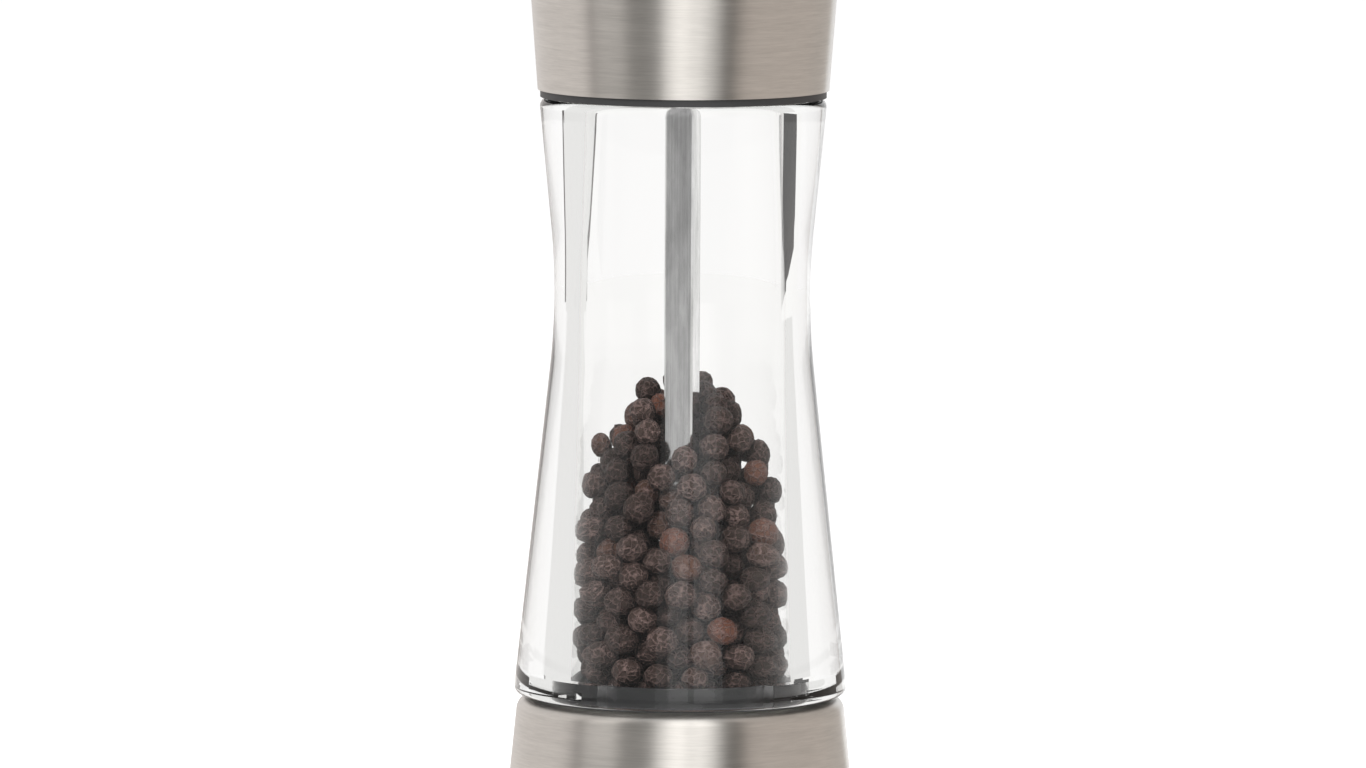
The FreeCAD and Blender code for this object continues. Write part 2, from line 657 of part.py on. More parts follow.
def make_carrier_spring():
    """The coil spring that presses the burr carrier down onto the cam ramps."""
    body = new_body("carrier_spring")
    wire = circle(new_sketch(body, "wire"), ("coil_radius", "coil_foot"), "wire_radius")
    coil = body.newObject("PartDesign::AdditiveHelix", "carrier_spring_coil")
    coil.Profile = wire
    coil.ReferenceAxis = (origin_feature(body, "Z_Axis"), [""])
    coil.Mode = "pitch-height-angle"
    bind(coil, "Pitch", "(coil_top - coil_foot) / coil_turns")
    bind(coil, "Height", "coil_top - coil_foot")
    return body


def make_click_spring():
    """The bowed leaf in the sleeve's window, which clicks over the grip ring's notches."""
    body = new_body("click_spring")
    sketch = new_sketch(body, "leaf", "XY_Plane", "leaf_foot")
    middle = ("0", "leaf_crown - leaf_bow")
    centre = vector(middle)
    half = math.asin(number("leaf_span") / 2 / number("leaf_bow"))
    angles = (math.pi / 2 - half, math.pi / 2 + half)
    radii = ("leaf_bow", "leaf_bow - leaf_thick")
    for text in radii:
        bow = Part.Circle(centre, FreeCAD.Vector(0, 0, 1), number(text))
        edge = sketch.addGeometry(Part.ArcOfCircle(bow, *angles), False)
        pin_point(sketch, edge, 3, middle)
        index = sketch.addConstraint(Sketcher.Constraint("Radius", edge, number(text)))
        bind(sketch, f"Constraints[{index}]", text)
    for end, sign in ((1, ""), (2, "-")):
        ends = [sketch.getPoint(edge, end) for edge in (0, 1)]
        line = sketch.addGeometry(Part.LineSegment(*ends), False)
        sketch.addConstraint(Sketcher.Constraint("Coincident", line, 1, 0, end))
        sketch.addConstraint(Sketcher.Constraint("Coincident", line, 2, 1, end))
        for point in (1, 2):
            index = sketch.addConstraint(
                Sketcher.Constraint("DistanceX", -1, 1, line, point, number(f"{sign}leaf_span / 2"))
            )
            bind(sketch, f"Constraints[{index}]", f"{sign}leaf_span / 2")
    raised(body, sketch, "leaf_height")
    return body


def make_carrier():
    """The sliding carrier of the ring burr, with three keys that stop it turning
    and three feet that ride on the cam ramps."""
    body = new_body("burr_carrier")
    lip = "throat_radius + lip_clear"
    profile = polygon(
        new_sketch(body, "profile"),
        [
            ("carrier_bore", "carrier_foot"),
            ("carrier_radius", "carrier_foot"),
            ("carrier_radius", "carrier_top"),
            (lip, "carrier_top"),
            (lip, "ring_top + carrier_fit"),
            ("carrier_bore", "ring_top + carrier_fit"),
        ],
    )
    turned(body, profile)
    inside = "carrier_radius - run_clear"
    key = rectangle(
        new_sketch(body, "key"), (inside, "carrier_top - key_length"), ("key_tip", "carrier_top")
    )
    round_the_axis(body, [raised(body, key, "key_width", both_ways=True)], FOLD_COUNT)
    arm_top = "carrier_foot + foot_thick"
    foot = polygon(
        new_sketch(body, "foot"),
        [
            (inside, "carrier_foot"),
            ("foot_inner", "carrier_foot"),
            ("foot_inner", "cam_foot"),
            ("foot_tip", "cam_foot"),
            ("foot_tip", arm_top),
            (inside, arm_top),
        ],
    )
    round_the_axis(body, [raised(body, foot, "foot_width", both_ways=True)], FOLD_COUNT)
    hole = circle(
        new_sketch(body, "hole", "XY_Plane", "carrier_foot"),
        ("-screw_circle", "0"),
        "screw_radius + screw_clear",
    )
    round_the_axis(body, [raised(body, hole, "screw_length", "Pocket")], FOLD_COUNT)
    return body


def v_cut(body, name, level, turn, face, depth, width, inward):
    """The triangle of a tooth cutter at one level: its tip lies in the metal by depth,
    and its open side stands clear of the face."""
    toward = "-" if inward else "+"
    away = "+" if inward else "-"
    tip = f"{face} {toward} ({depth})"
    mouth = f"{face} {away} tooth_over"
    half = f"({width}) / 2"
    sketch = new_sketch(body, name, "XY_Plane", level, turn)
    return polygon(sketch, [(tip, "0"), (mouth, half), (mouth, f"-{half}")])


def cut_teeth(body, name, sections, count, inward):
    """Leaning V-shaped valleys all round a burr, each lofted between a low and a high triangle."""
    low, high = (
        v_cut(body, f"{name}_{end}", *section, inward)
        for end, section in zip(("low", "high"), sections)
    )
    loft = body.newObject("PartDesign::SubtractiveLoft", f"{body.Name}_{name}")
    loft.Profile = low
    loft.Sections = [high]
    loft.Ruled = True
    return round_the_axis(body, [loft], count)


def make_ring_burr():
    """The outer burr: fine teeth in its conical foot, breaking flutes in its throat, and a screw flange."""
    body = new_body("ring_burr")
    foot_radius = "cone_radius + burr_gap"
    break_radius = "cone_break_radius + burr_gap"
    profile = polygon(
        new_sketch(body, "profile"),
        [
            (foot_radius, "cone_base"),
            ("flange_radius", "cone_base"),
            ("flange_radius", "flange_top"),
            ("ring_radius", "flange_top"),
            ("ring_radius", "ring_top"),
            ("ring_mouth_radius", "ring_top"),
            (break_radius, "fine_top"),
        ],
    )
    turned(body, profile)
    hole = circle(
        new_sketch(body, "hole", "XY_Plane", "cone_base"),
        ("-screw_circle", "0"),
        "screw_radius + screw_clear",
    )
    round_the_axis(body, [raised(body, hole, "flange_thick", "Pocket")], FOLD_COUNT)
    cut_teeth(
        body,
        "flute",
        [
            ("fine_top", "0", break_radius, "fine_depth", "flute_width / 2"),
            ("ring_top + tooth_over", "flute_skew", "ring_mouth_radius", "flute_depth", "flute_width"),
        ],
        RING_FLUTE_COUNT,
        inward=False,
    )
    cut_teeth(
        body,
        "fine",
        [
            ("cone_base - tooth_over", "0", foot_radius, "fine_depth", "fine_width"),
            ("fine_top + tooth_over", "fine_skew", break_radius, "fine_depth / 2", "fine_width / 2"),
        ],
        FINE_TOOTH_COUNT,
        inward=False,
    )
    return body


def make_cone_burr():
    """The inner burr: a cone with breaking flutes above and fine teeth below, driven by its square hole."""
    body = new_body("cone_burr")
    recess = "end_washer_radius + end_play * 6"
    recess_top = "shaft_foot"
    profile = polygon(
        new_sketch(body, "profile"),
        [
            ("0", recess_top),
            (recess, recess_top),
            (recess, "cone_base"),
            ("cone_radius", "cone_base"),
            ("cone_break_radius", "fine_top"),
            ("cone_top_radius", "cone_top"),
            ("0", "cone_top"),
        ],
    )
    turned(body, profile)
    hole = square(new_sketch(body, "hole", "XY_Plane", "cone_base", "shaft_turn"), "hole_side")
    raised(body, hole, "cone_top - cone_base", "Pocket")
    cut_teeth(
        body,
        "flute",
        [
            ("fine_top", "0", "cone_break_radius", "fine_depth / 2", "flute_width / 2"),
            ("cone_top + tooth_over", "-flute_skew", "cone_top_radius", "flute_depth", "flute_width"),
        ],
        FLUTE_COUNT,
        inward=True,
    )
    cut_teeth(
        body,
        "fine",
        [
            ("cone_base - tooth_over", "0", "cone_radius", "fine_depth", "fine_width"),
            ("fine_top + tooth_over", "-fine_skew", "cone_break_radius", "fine_depth / 2", "fine_width / 2"),
        ],
        FINE_TOOTH_COUNT,
        inward=True,
    )
    return body


def make_shaft():
    """The square drive shaft, tapped at its foot for the end screw."""
    body = new_body("drive_shaft")
    edge = "shaft_edge"
    half = "shaft_side / 2"
    near = f"{half} - {edge}"
    corners = []
    for a, b in ((1, 1), (-1, 1), (-1, -1), (1, -1)):
        first = (f"{a} * ({half})", f"{b} * ({near})")
        second = (f"{a} * ({near})", f"{b} * ({half})")
        corners += [first, second] if a == b else [second, first]
    sketch = new_sketch(body, "section", "XY_Plane", "shaft_foot", "shaft_turn")
    raised(body, polygon(sketch, corners), "shaft_top - shaft_foot")
    tapping = circle(
        new_sketch(body, "tapping", "XY_Plane", "shaft_foot"), ("0", "0"), "end_screw_radius + screw_clear"
    )
    raised(body, tapping, "end_screw_length", "Pocket")
    return body


def on_the_shaft(label, corners):
    """A turned piece with the shaft's square hole through it."""
    body = new_body(label)
    turned(body, polygon(new_sketch(body, "profile"), corners))
    levels = sorted({text for _, text in corners}, key=number)
    foot = levels[0]
    hole = square(new_sketch(body, "hole", "XY_Plane", foot, "shaft_turn"), "hole_side")
    raised(body, hole, f"{levels[-1]} - ({foot})", "Pocket")
    return body


def make_bush():
    """The collared bush that turns in the spider's hub and hangs the shaft from it."""
    seat = "hub_top + end_play"
    return on_the_shaft(
        "shaft_bush",
        [
            ("0", "bush_foot"),
            ("bush_radius", "bush_foot"),
            ("bush_radius", seat),
            ("bush_collar_radius", seat),
            ("bush_collar_radius", "bush_top"),
            ("0", "bush_top"),
        ],
    )


def make_thrust_washer():
    """The washer between the bush and the cone burr."""
    return on_the_shaft(
        "thrust_washer",
        [
            ("0", "washer_foot"),
            ("washer_radius", "washer_foot"),
            ("washer_radius", "washer_top"),
            ("0", "washer_top"),
        ],
    )


def make_screw(name, radius, length, head_radius, head_height, level, circle_radius="0", angle=0):
    """One pan-head screw that points up, its head's top face at a level."""
    shank = doc.addObject("Part::Cylinder", f"{name}_shank")
    bind(shank, "Radius", radius)
    bind(shank, "Height", length)
    head = doc.addObject("Part::Cylinder", f"{name}_head")
    bind(head, "Radius", head_radius)
    bind(head, "Height", head_height)
    for piece, foot in ((shank, level), (head, f"{level} - {head_height}")):
        bind(piece, "Placement.Base.x", f"{circle_radius} * cos({angle})")
        bind(piece, "Placement.Base.y", f"{circle_radius} * sin({angle})")
        bind(piece, "Placement.Base.z", foot)
    screw = doc.addObject("Part::Fuse", name)
    screw.Base = head
    screw.Tool = shank
    return screw


def make_carrier_screws():
    """The three screws that hold the ring burr in its carrier."""
    group = doc.addObject("Part::Compound", "carrier_screws")
    group.Links = [
        make_screw(
            f"carrier_screw_{i}",
            "screw_radius",
            "screw_length",
            "screw_head_radius",
            "screw_head_height",
            "screw_foot",
            "screw_circle",
            FULL_TURN / 2 + i * FULL_TURN / FOLD_COUNT,
        )
        for i in range(FOLD_COUNT)
    ]
    return group


def make_burr_screw():
    """The screw in the shaft's foot that holds the cone burr."""
    return make_screw(
        "burr_screw",
        "end_screw_radius",
        "end_screw_length",
        "end_screw_head_radius",
        "end_screw_head_height",
        "end_screw_foot",
    )


def make_burr_washer():
    """The washer between that screw's head and the shaft."""
    return flat_ring(
        "burr_washer",
        "end_screw_radius + screw_clear",
        "end_washer_radius",
        "end_washer_foot",
        "end_washer_foot + end_washer_thick",
    )


def make_grip_skin():
    """The steel skin of the grip ring."""
    body = new_body("grip_skin")
    under = "grip_height - steel_wall"
    profile = polygon(
        new_sketch(body, "profile"),
        [
            ("skin_inner", "foot_rim"),
            ("collar_foot_radius", "foot_rim"),
            ("collar_foot_radius", "grip_height"),
            ("skin_top_inner", "grip_height"),
            ("skin_top_inner", under),
            ("skin_inner", under),
        ],
    )
    skin = turned(body, profile)
    rounded(body, skin, "skin_round", ("collar_foot_radius", "grip_height"))
    return body


def make_grip_core():
    """The moulded grip ring: foot, snap groove, click notches, and the ledge with three cam ramps."""
    body = new_body("grip_core")
    outer = "skin_inner - glue_gap"
    shoulder = "skin_top_inner - glue_gap"
    groove = "grip_bore + bead_height + turn_clear"
    groove_top = "bead_top + run_clear"
    groove_foot = "bead_foot - run_clear"
    ledge_foot = "ledge_top - ledge_thick"
    foot_inner = "collar_foot_radius - steel_wall / 2 - foot_rim_width"
    profile = polygon(
        new_sketch(body, "profile"),
        [
            (foot_inner, "0"),
            ("collar_foot_radius - steel_wall / 2", "0"),
            ("collar_foot_radius - steel_wall / 2", "foot_rim"),
            (outer, "foot_rim"),
            (outer, "grip_height - steel_wall - glue_gap"),
            (shoulder, "grip_height - steel_wall - glue_gap"),
            (shoulder, "collar_foot - run_clear"),
            ("grip_bore", "collar_foot - run_clear"),
            ("grip_bore", groove_top),
            (groove, groove_top),
            (groove, groove_foot),
            ("grip_bore", groove_foot),
            ("grip_bore", "ledge_top"),
            ("ledge_bore", "ledge_top"),
            ("ledge_bore", ledge_foot),
            (foot_inner, ledge_foot),
        ],
    )
    turned(body, profile)
    notch = polygon(
        new_sketch(body, "notch", "XY_Plane", "ledge_top"),
        [
            ("-click_width / 2", "grip_bore - click_depth"),
            ("click_width / 2", "grip_bore - click_depth"),
            ("click_width / 4", "grip_bore + click_depth"),
            ("-click_width / 4", "grip_bore + click_depth"),
        ],
    )
    notches = raised(body, notch, f"{groove_foot} - ledge_top", "Pocket")
    round_the_axis(body, [notches], "click_count", "click_pitch * (click_count - 1)")
    ramp = rectangle(
        new_sketch(body, "ramp", turn="-ramp_margin"),
        ("foot_inner - run_clear", "ledge_top - ledge_thick / 2"),
        ("foot_tip + run_clear", "ramp_low"),
    )
    helix = body.newObject("PartDesign::AdditiveHelix", "grip_core_ramp_helix")
    helix.Profile = ramp
    helix.ReferenceAxis = (origin_feature(body, "Z_Axis"), [""])
    helix.Mode = "pitch-height-angle"
    bind(helix, "Pitch", "ramp_pitch")
    bind(helix, "Height", "ramp_pitch * ramp_angle / 360")
    round_the_axis(body, [helix], FOLD_COUNT)
    return body


def domed_section(sketch, foot, brim, crown_level):
    """Half the section of a flared cup, closed on the axis and domed over its top."""
    corners = [("0", crown_level), ("0", foot[1]), foot, brim]
    points = [vector(c) for c in corners]
    rise = points[0].y - points[3].y
    reach = points[3].x
    crown_radius = (reach ** 2 + rise ** 2) / (2 * rise)
    centre = FreeCAD.Vector(0, points[0].y - crown_radius, 0)
    for start, end in zip(points, points[1:]):
        sketch.addGeometry(Part.LineSegment(start, end), False)
    arch = Part.Circle(centre, FreeCAD.Vector(0, 0, 1), crown_radius)
    brim_angle = math.atan2(points[3].y - centre.y, reach)
    dome = sketch.addGeometry(Part.ArcOfCircle(arch, brim_angle, math.pi / 2), False)
    for i in range(2):
        sketch.addConstraint(Sketcher.Constraint("Coincident", i, 2, i + 1, 1))
    sketch.addConstraint(Sketcher.Constraint("Coincident", 2, 2, dome, 1))
    sketch.addConstraint(Sketcher.Constraint("Coincident", dome, 2, 0, 1))
    for i, corner in enumerate(corners[:3]):
        pin_point(sketch, i, 1, corner)
    pin_point(sketch, dome, 1, brim)
    sketch.addConstraint(Sketcher.Constraint("PointOnObject", dome, 3, -2))
    return sketch


def make_head_shell():
    """The drawn steel head: a flared wall, a rounded brim and a low crown."""
    body = new_body("head_shell")
    brim = ("head_brim_radius", "head_top - head_dome")
    inner_brim = ("head_brim_radius - steel_wall * (1 + head_lean)", "head_top - head_dome - steel_wall")
    outside = domed_section(
        new_sketch(body, "outside"), ("head_foot_radius", "head_foot"), brim, "head_top"
    )
    turned(body, outside)
    inside = domed_section(
        new_sketch(body, "inside"),
        ("head_foot_radius - steel_wall", "head_foot"),
        inner_brim,
        "head_top - steel_wall",
    )
    hollow = turned(body, inside, "Groove")
    soft_inside = rounded(body, hollow, "head_round - steel_wall", inner_brim)
    rounded(body, soft_inside, "head_round", brim)
    return body


def make_head_core():
    """The moulded core of the head: bearing flange, plate, drive boss with its square socket, and ribs."""
    body = new_body("head_core")
    glide_outer = "glide_inner_radius + glide_width"
    glide_roof = "body_top + glide_thick + 2 * glide_play"
    recess = "neck_radius + neck_clear"
    band = "head_foot_radius - band_inset"
    profile = polygon(
        new_sketch(body, "profile"),
        [
            ("0", "plate_foot - boss_drop"),
            ("boss_radius", "plate_foot - boss_drop"),
            ("boss_radius", "plate_foot"),
            (recess, "plate_foot"),
            (recess, "flange_foot"),
            ("glide_inner_radius - glide_play", "flange_foot"),
            ("glide_inner_radius - glide_play", glide_roof),
            (f"{glide_outer} + glide_play", glide_roof),
            (f"{glide_outer} + glide_play", "flange_foot"),
            (band, "flange_foot"),
            (band, "head_foot - glide_play"),
            ("core_foot_radius", "head_foot - glide_play"),
            ("core_top_radius", "core_top"),
            ("core_top_radius - core_wall", "core_top"),
            ("core_foot_radius - core_wall + head_lean * (plate_top - head_foot)", "plate_top"),
            ("boss_radius", "plate_top"),
            ("boss_radius", "boss_top"),
            ("0", "boss_top"),
        ],
    )
    turned(body, profile)
    socket = square(
        new_sketch(body, "socket", "XY_Plane", "plate_foot - boss_drop", "shaft_turn"),
        "shaft_side + 2 * socket_fit",
    )
    raised(body, socket, "socket_end - plate_foot + boss_drop", "Pocket")
    rib = block(
        new_sketch(body, "rib", "XY_Plane", "plate_top - core_plate / 2"),
        "boss_radius - rib_thick",
        "core_foot_radius - core_wall / 2",
        "rib_thick",
    )
    round_the_axis(body, [raised(body, rib, "rib_height + core_plate / 2")], RIB_COUNT)
    slot_half = "clip_wire + clip_slot_clear"
    for side in ("", "-"):
        inner = f"{side}(shaft_side / 2)"
        outer = f"{side}(clip_offset + {slot_half})"
        slot = polygon(
            new_sketch(body, f"slot{len(side)}", "XY_Plane", f"clip_level - ({slot_half})", "shaft_turn"),
            [
                (inner, "-boss_radius * 1.5"),
                (outer, "-boss_radius * 1.5"),
                (outer, "boss_radius * 1.5"),
                (inner, "boss_radius * 1.5"),
            ],
        )
        raised(body, slot, f"2 * ({slot_half})", "Pocket")
    return body


def make_glide_ring():
    """The slippery ring under the head's flange, which turns on the clear shoulder."""
    return flat_ring(
        "glide_ring",
        "glide_inner_radius",
        "glide_inner_radius + glide_width",
        "body_top + glide_play",
        "body_top + glide_play + glide_thick",
    )


def make_shaft_clip():
    """The wire clip in the head: two arms along the shaft's flats, joined by a round bend."""
    pieces = []
    turn = FreeCAD.Rotation(FreeCAD.Vector(0, 0, 1), number("shaft_turn"))
    for side in (1, -1):
        arm = doc.addObject("Part::Cylinder", f"clip_arm_{side + 1}")
        bind(arm, "Radius", "clip_wire")
        bind(arm, "Height", "clip_arm")
        lying = FreeCAD.Rotation(FreeCAD.Vector(1, 0, 0), 90)
        arm.Placement = FreeCAD.Placement(FreeCAD.Vector(), turn.multiply(lying))
        across = f"{side} * clip_offset"
        along = "clip_arm / 2"
        bind(arm, "Placement.Base.x", f"{across} * cos(shaft_turn) - {along} * sin(shaft_turn)")
        bind(arm, "Placement.Base.y", f"{across} * sin(shaft_turn) + {along} * cos(shaft_turn)")
        bind(arm, "Placement.Base.z", "clip_level")
        pieces.append(arm)
    bend = doc.addObject("Part::Torus", "clip_bend")
    bind(bend, "Radius1", "clip_offset")
    bind(bend, "Radius2", "clip_wire")
    bend.Angle3 = 180
    bend.Placement = FreeCAD.Placement(FreeCAD.Vector(), turn)
    bind(bend, "Placement.Base.x", "-clip_arm / 2 * sin(shaft_turn)")
    bind(bend, "Placement.Base.y", "clip_arm / 2 * cos(shaft_turn)")
    bind(bend, "Placement.Base.z", "clip_level")
    clip = doc.addObject("Part::MultiFuse", "shaft_clip")
    clip.Shapes = [*pieces, bend]
    return clip


def drop_peppercorn(near, radius, x, y, sizes):
    """The height at which a peppercorn let down at x, y comes to rest on the funnel, the spigot or the
    corns near it, or None where the wall or the shaft is in its way."""
    out = math.hypot(x, y)
    gap = sizes["gap"]
    if out - radius < sizes["shaft"]:
        return None
    funnel = sizes["funnel_foot"] + (out - sizes["throat"]) * sizes["slope"]
    rest = max(sizes["floor"] + radius + gap, funnel + (radius + gap) * sizes["lean"])
    if out + radius + gap > sizes["spigot"]:
        rest = max(rest, sizes["spigot_top"] + radius + gap)
    for px, py, pz, pr in near:
        reach = (radius + pr + gap) ** 2 - (x - px) ** 2 - (y - py) ** 2
        if reach > 0:
            rest = max(rest, pz + math.sqrt(reach))
    bore = sizes["bore_foot"] - sizes["draft"] * (rest + radius - sizes["bore_base"])
    return None if out + radius + gap > bore else rest


def heap_peppercorns():
    """Centres and radii of a heap let down one by one. Each corn tries places all over the heap,
    takes the lowest one that lies under the heap's final slope, and rolls on to lower ones beside it."""
    draw = random.Random(PEPPER_SEED)
    slope = number("funnel_height / (spout_bore - throat_bore)")
    sizes = {
        "gap": number("pepper_gap"),
        "shaft": number("shaft_side") / math.sqrt(2) + number("shaft_fit"),
        "throat": number("throat_bore"),
        "funnel_foot": number("funnel_foot"),
        "slope": slope,
        "lean": math.hypot(1, slope),
        "spigot": number("spout_bore"),
        "spigot_top": number("spout_top"),
        "floor": number("bush_top"),
        "bore_base": number("body_base"),
        "bore_foot": number("bore_foot_radius"),
        "draft": number("(bore_foot_radius - bore_top_radius) / (body_height + neck_height)"),
    }
    small, large = number("pepper_small"), number("pepper_large")
    peak = number("body_base + heap_peak")
    fall = number("heap_fall")
    lean = number("heap_lean / bore_foot_radius")
    cell = large + sizes["gap"]
    cells = {}
    misses = 0
    while misses < PEPPER_MISSES:
        radius = draw.uniform(small, large) / 2
        nearest = sizes["shaft"] + radius
        farthest = sizes["bore_foot"] - radius
        best = (math.inf, 0, 0)
        for step in range(PEPPER_TRIES + PEPPER_ROLLS):
            if step < PEPPER_TRIES:
                out = math.sqrt(draw.uniform(nearest ** 2, farthest ** 2))
                angle = math.tau * draw.random()
                x, y = out * math.cos(angle), out * math.sin(angle)
            else:
                spread = radius * (1 - (step - PEPPER_TRIES) / PEPPER_ROLLS)
                x, y = draw.gauss(best[1], spread), draw.gauss(best[2], spread)
            near = cells_round(cells, x, y, cell)
            rest = drop_peppercorn(near, radius, x, y, sizes)
            share = (math.hypot(x, y) - nearest) / (farthest - nearest)
            if rest is not None and rest + radius < peak - fall * share + lean * y:
                best = min(best, (rest, x, y))
        if best[0] < math.inf:
            level, x, y = best
            cells.setdefault((x // cell, y // cell), []).append((x, y, level, radius))
        else:
            misses += 1
    return [corn for corns in cells.values() for corn in corns]


def cells_round(cells, x, y, cell):
    """The corns in the square cell that holds x, y and in the eight cells round it."""
    column, row = x // cell, y // cell
    for i, j in itertools.product((-1, 0, 1), repeat=2):
        yield from cells.get((column + i, row + j), ())


def rough_corn():
    """A twenty-sided corn about the origin, with tips at radius one."""
    golden = (1 + math.sqrt(5)) / 2
    tips = []
    for a, b in itertools.product((1, -1), (golden, -golden)):
        tips += [FreeCAD.Vector(0, a, b), FreeCAD.Vector(a, b, 0), FreeCAD.Vector(b, 0, a)]
    side = min(p.distanceToPoint(q) for p, q in itertools.combinations(tips, 2))
    faces = []
    for p, q, r in itertools.combinations(tips, 3):
        if max(p.distanceToPoint(q), q.distanceToPoint(r), r.distanceToPoint(p)) > 1.01 * side:
            continue
        if (q - p).cross(r - p).dot(p) < 0:
            q, r = r, q
        faces.append(Part.Face(Part.makePolygon([p, q, r, p])))
    return Part.Solid(Part.Shell(faces)).scaled(1 / tips[0].Length)


def make_peppercorns():
    """The pepper in the chamber: a heap of loose rough corns, none touching another."""
    draw = random.Random(PEPPER_SEED)
    pattern = rough_corn()
    corns = []
    for x, y, level, radius in heap_peppercorns():
        corn = pattern.scaled(radius)
        axis = FreeCAD.Vector(draw.gauss(0, 1), draw.gauss(0, 1), draw.gauss(0, 1))
        spin = FreeCAD.Rotation(axis, draw.uniform(0, FULL_TURN))
        corn.Placement = FreeCAD.Placement(FreeCAD.Vector(x, y, level), spin)
        corns.append(corn)
    heap = doc.addObject("Part::Feature", "peppercorns")
    heap.Shape = Part.makeCompound(corns)
    return heap


def main():
    """Builds every sub-part, checks it and writes it to its own file."""
    makers = [
        make_clear_body,
        make_gasket,
        make_collar,
        make_housing,
        make_carrier_spring,
        make_click_spring,
        make_carrier,
        make_ring_burr,
        make_carrier_screws,
        make_cone_burr,
        make_shaft,
        make_bush,
        make_thrust_washer,
        make_burr_screw,
        make_burr_washer,
        make_grip_skin,
        make_grip_core,
        make_head_shell,
        make_head_core,
        make_glide_ring,
        make_shaft_clip,
        make_peppercorns,
    ]
    parts = [make() for make in makers]
    doc.recompute()
    for thing in doc.Objects:
        if {"Invalid", "Error"} & set(thing.State):
            raise RuntimeError(f"{thing.Label} failed: {thing.State}")
    os.makedirs("parts", exist_ok=True)
    for part in parts:
        shape = part.Shape
        if shape.isNull() or not shape.isValid():
            raise RuntimeError(f"{part.Label} has no valid shape")
        shape.exportStep(os.path.join("parts", f"{part.Label}.step"))
        print(f"{part.Label}: {len(shape.Solids)} solids, {shape.Volume:.1f} mm3")


main()
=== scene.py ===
"""Pepper mill: the finish of every surface, the pepper in its chamber, and a plain white studio."""
import json
import math

import bmesh
import bpy
import numpy as np
from bpy.props import FloatProperty, FloatVectorProperty, IntProperty, PointerProperty
from mathutils import Euler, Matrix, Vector


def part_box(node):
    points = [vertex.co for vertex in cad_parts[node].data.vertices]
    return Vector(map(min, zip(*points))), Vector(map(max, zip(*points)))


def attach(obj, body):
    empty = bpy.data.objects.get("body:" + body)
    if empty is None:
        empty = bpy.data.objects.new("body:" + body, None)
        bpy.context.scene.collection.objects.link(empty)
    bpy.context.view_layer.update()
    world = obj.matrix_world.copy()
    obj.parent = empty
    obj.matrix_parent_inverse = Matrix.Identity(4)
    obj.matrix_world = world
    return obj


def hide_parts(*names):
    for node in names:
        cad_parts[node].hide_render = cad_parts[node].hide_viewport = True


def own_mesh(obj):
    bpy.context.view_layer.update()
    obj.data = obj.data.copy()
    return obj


bl_info = {
    "name": "Pepper mill",
    "version": (1, 0, 0),
    "blender": (4, 5, 0),
    "location": "View3D > Sidebar > Mill",
    "description": "Dresses a clear pepper mill with steel, acrylic and pepper, and sets up its studio",
    "category": "Object",
}

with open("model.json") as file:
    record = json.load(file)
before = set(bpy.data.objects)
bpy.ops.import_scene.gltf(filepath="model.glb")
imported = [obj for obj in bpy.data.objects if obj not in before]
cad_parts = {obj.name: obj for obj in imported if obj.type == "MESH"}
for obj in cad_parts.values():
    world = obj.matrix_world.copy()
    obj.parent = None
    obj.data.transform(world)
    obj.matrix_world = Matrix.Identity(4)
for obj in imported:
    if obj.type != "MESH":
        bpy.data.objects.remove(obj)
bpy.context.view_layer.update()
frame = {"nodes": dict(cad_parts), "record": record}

MM = 0.001
TURN = 2 * math.pi

# Width of the picture in pixels, and of the camera's sensor in millimetres.
PHOTO_WIDTH = 1366
SENSOR_WIDTH = 36.0

# What stands round the mill: start and end angle in degrees, counted from the camera's side towards +X,
# and colour. The steel and the polished faces mirror the near panels, low and high. The far walls and the
# stretches of floor show through the edges of the clear body. A dark wall also has the height of its foot
# at its start and at its end.
NEAR_PANELS = [
    (-180, -78, (0.88, 0.83, 0.80)),
    (-78, -70, (0.34, 0.32, 0.31)),
    (-70, -46, (0.30, 0.29, 0.28)),
    (-46, -15, (0.31, 0.30, 0.29)),
    (-15, 13.5, (1.25, 1.23, 1.21)),
    (13.5, 40, (0.09, 0.085, 0.08)),
    (40, 118, (0.70, 0.63, 0.58)),
    (118, 150, (0.62, 0.57, 0.53)),
]
HIGH_PANELS = [
    (-180, -78, (0.88, 0.84, 0.82)),
    (-78, -70, (0.34, 0.32, 0.31)),
    (-70, -44, (1.10, 1.06, 1.03)),
    (-44, -17, (0.30, 0.29, 0.28)),
    (-17, -8, (1.20, 1.18, 1.16)),
    (-8, 5, (2.20, 2.17, 2.14)),
    (5, 9, (0.60, 0.59, 0.58)),
    (9, 23, (2.20, 2.17, 2.14)),
    (23, 29, (1.20, 1.18, 1.16)),
    (29, 46, (0.15, 0.14, 0.13)),
    (46, 118, (0.64, 0.58, 0.54)),
    (118, 150, (0.62, 0.57, 0.53)),
]
FAR_WALLS = [
    (-153, -75, (0.80, 0.80, 0.79)),
    (-75, -12, (0.41, 0.41, 0.41)),
    (75, 118, (0.78, 0.77, 0.76)),
    (118, 150, (0.98, 0.98, 0.97)),
]
DARK_WALLS = [
    (-155, -153, (0.12, 0.11, 0.11), 0.03, 0.03),
    (118, 141, (0.10, 0.10, 0.10), 0.03, 0.205),
]
FAR_FLOORS = [
    (-150, -75, (0.80, 0.80, 0.79)),
    (-75, -12, (0.47, 0.47, 0.47)),
    (40, 138, (0.80, 0.80, 0.79)),
    (138, 210, (0.98, 0.98, 0.975)),
]

# Distances of those panels from the mill's axis, and their heights. The floor reaches a margin further.
NEAR_REACH = 0.75
FAR_REACH = 1.3
DARK_REACH = 1.28
FLOOR_REACH = 3.9
FLOOR_MARGIN = 0.1
FOOT_REACH = 0.045
LOW_WALL = 0.04
WALL_HEIGHT = 1.2
DARK_HEIGHT = 0.26
FLOOR_GAP = 0.0005
PANEL_STEPS = 24

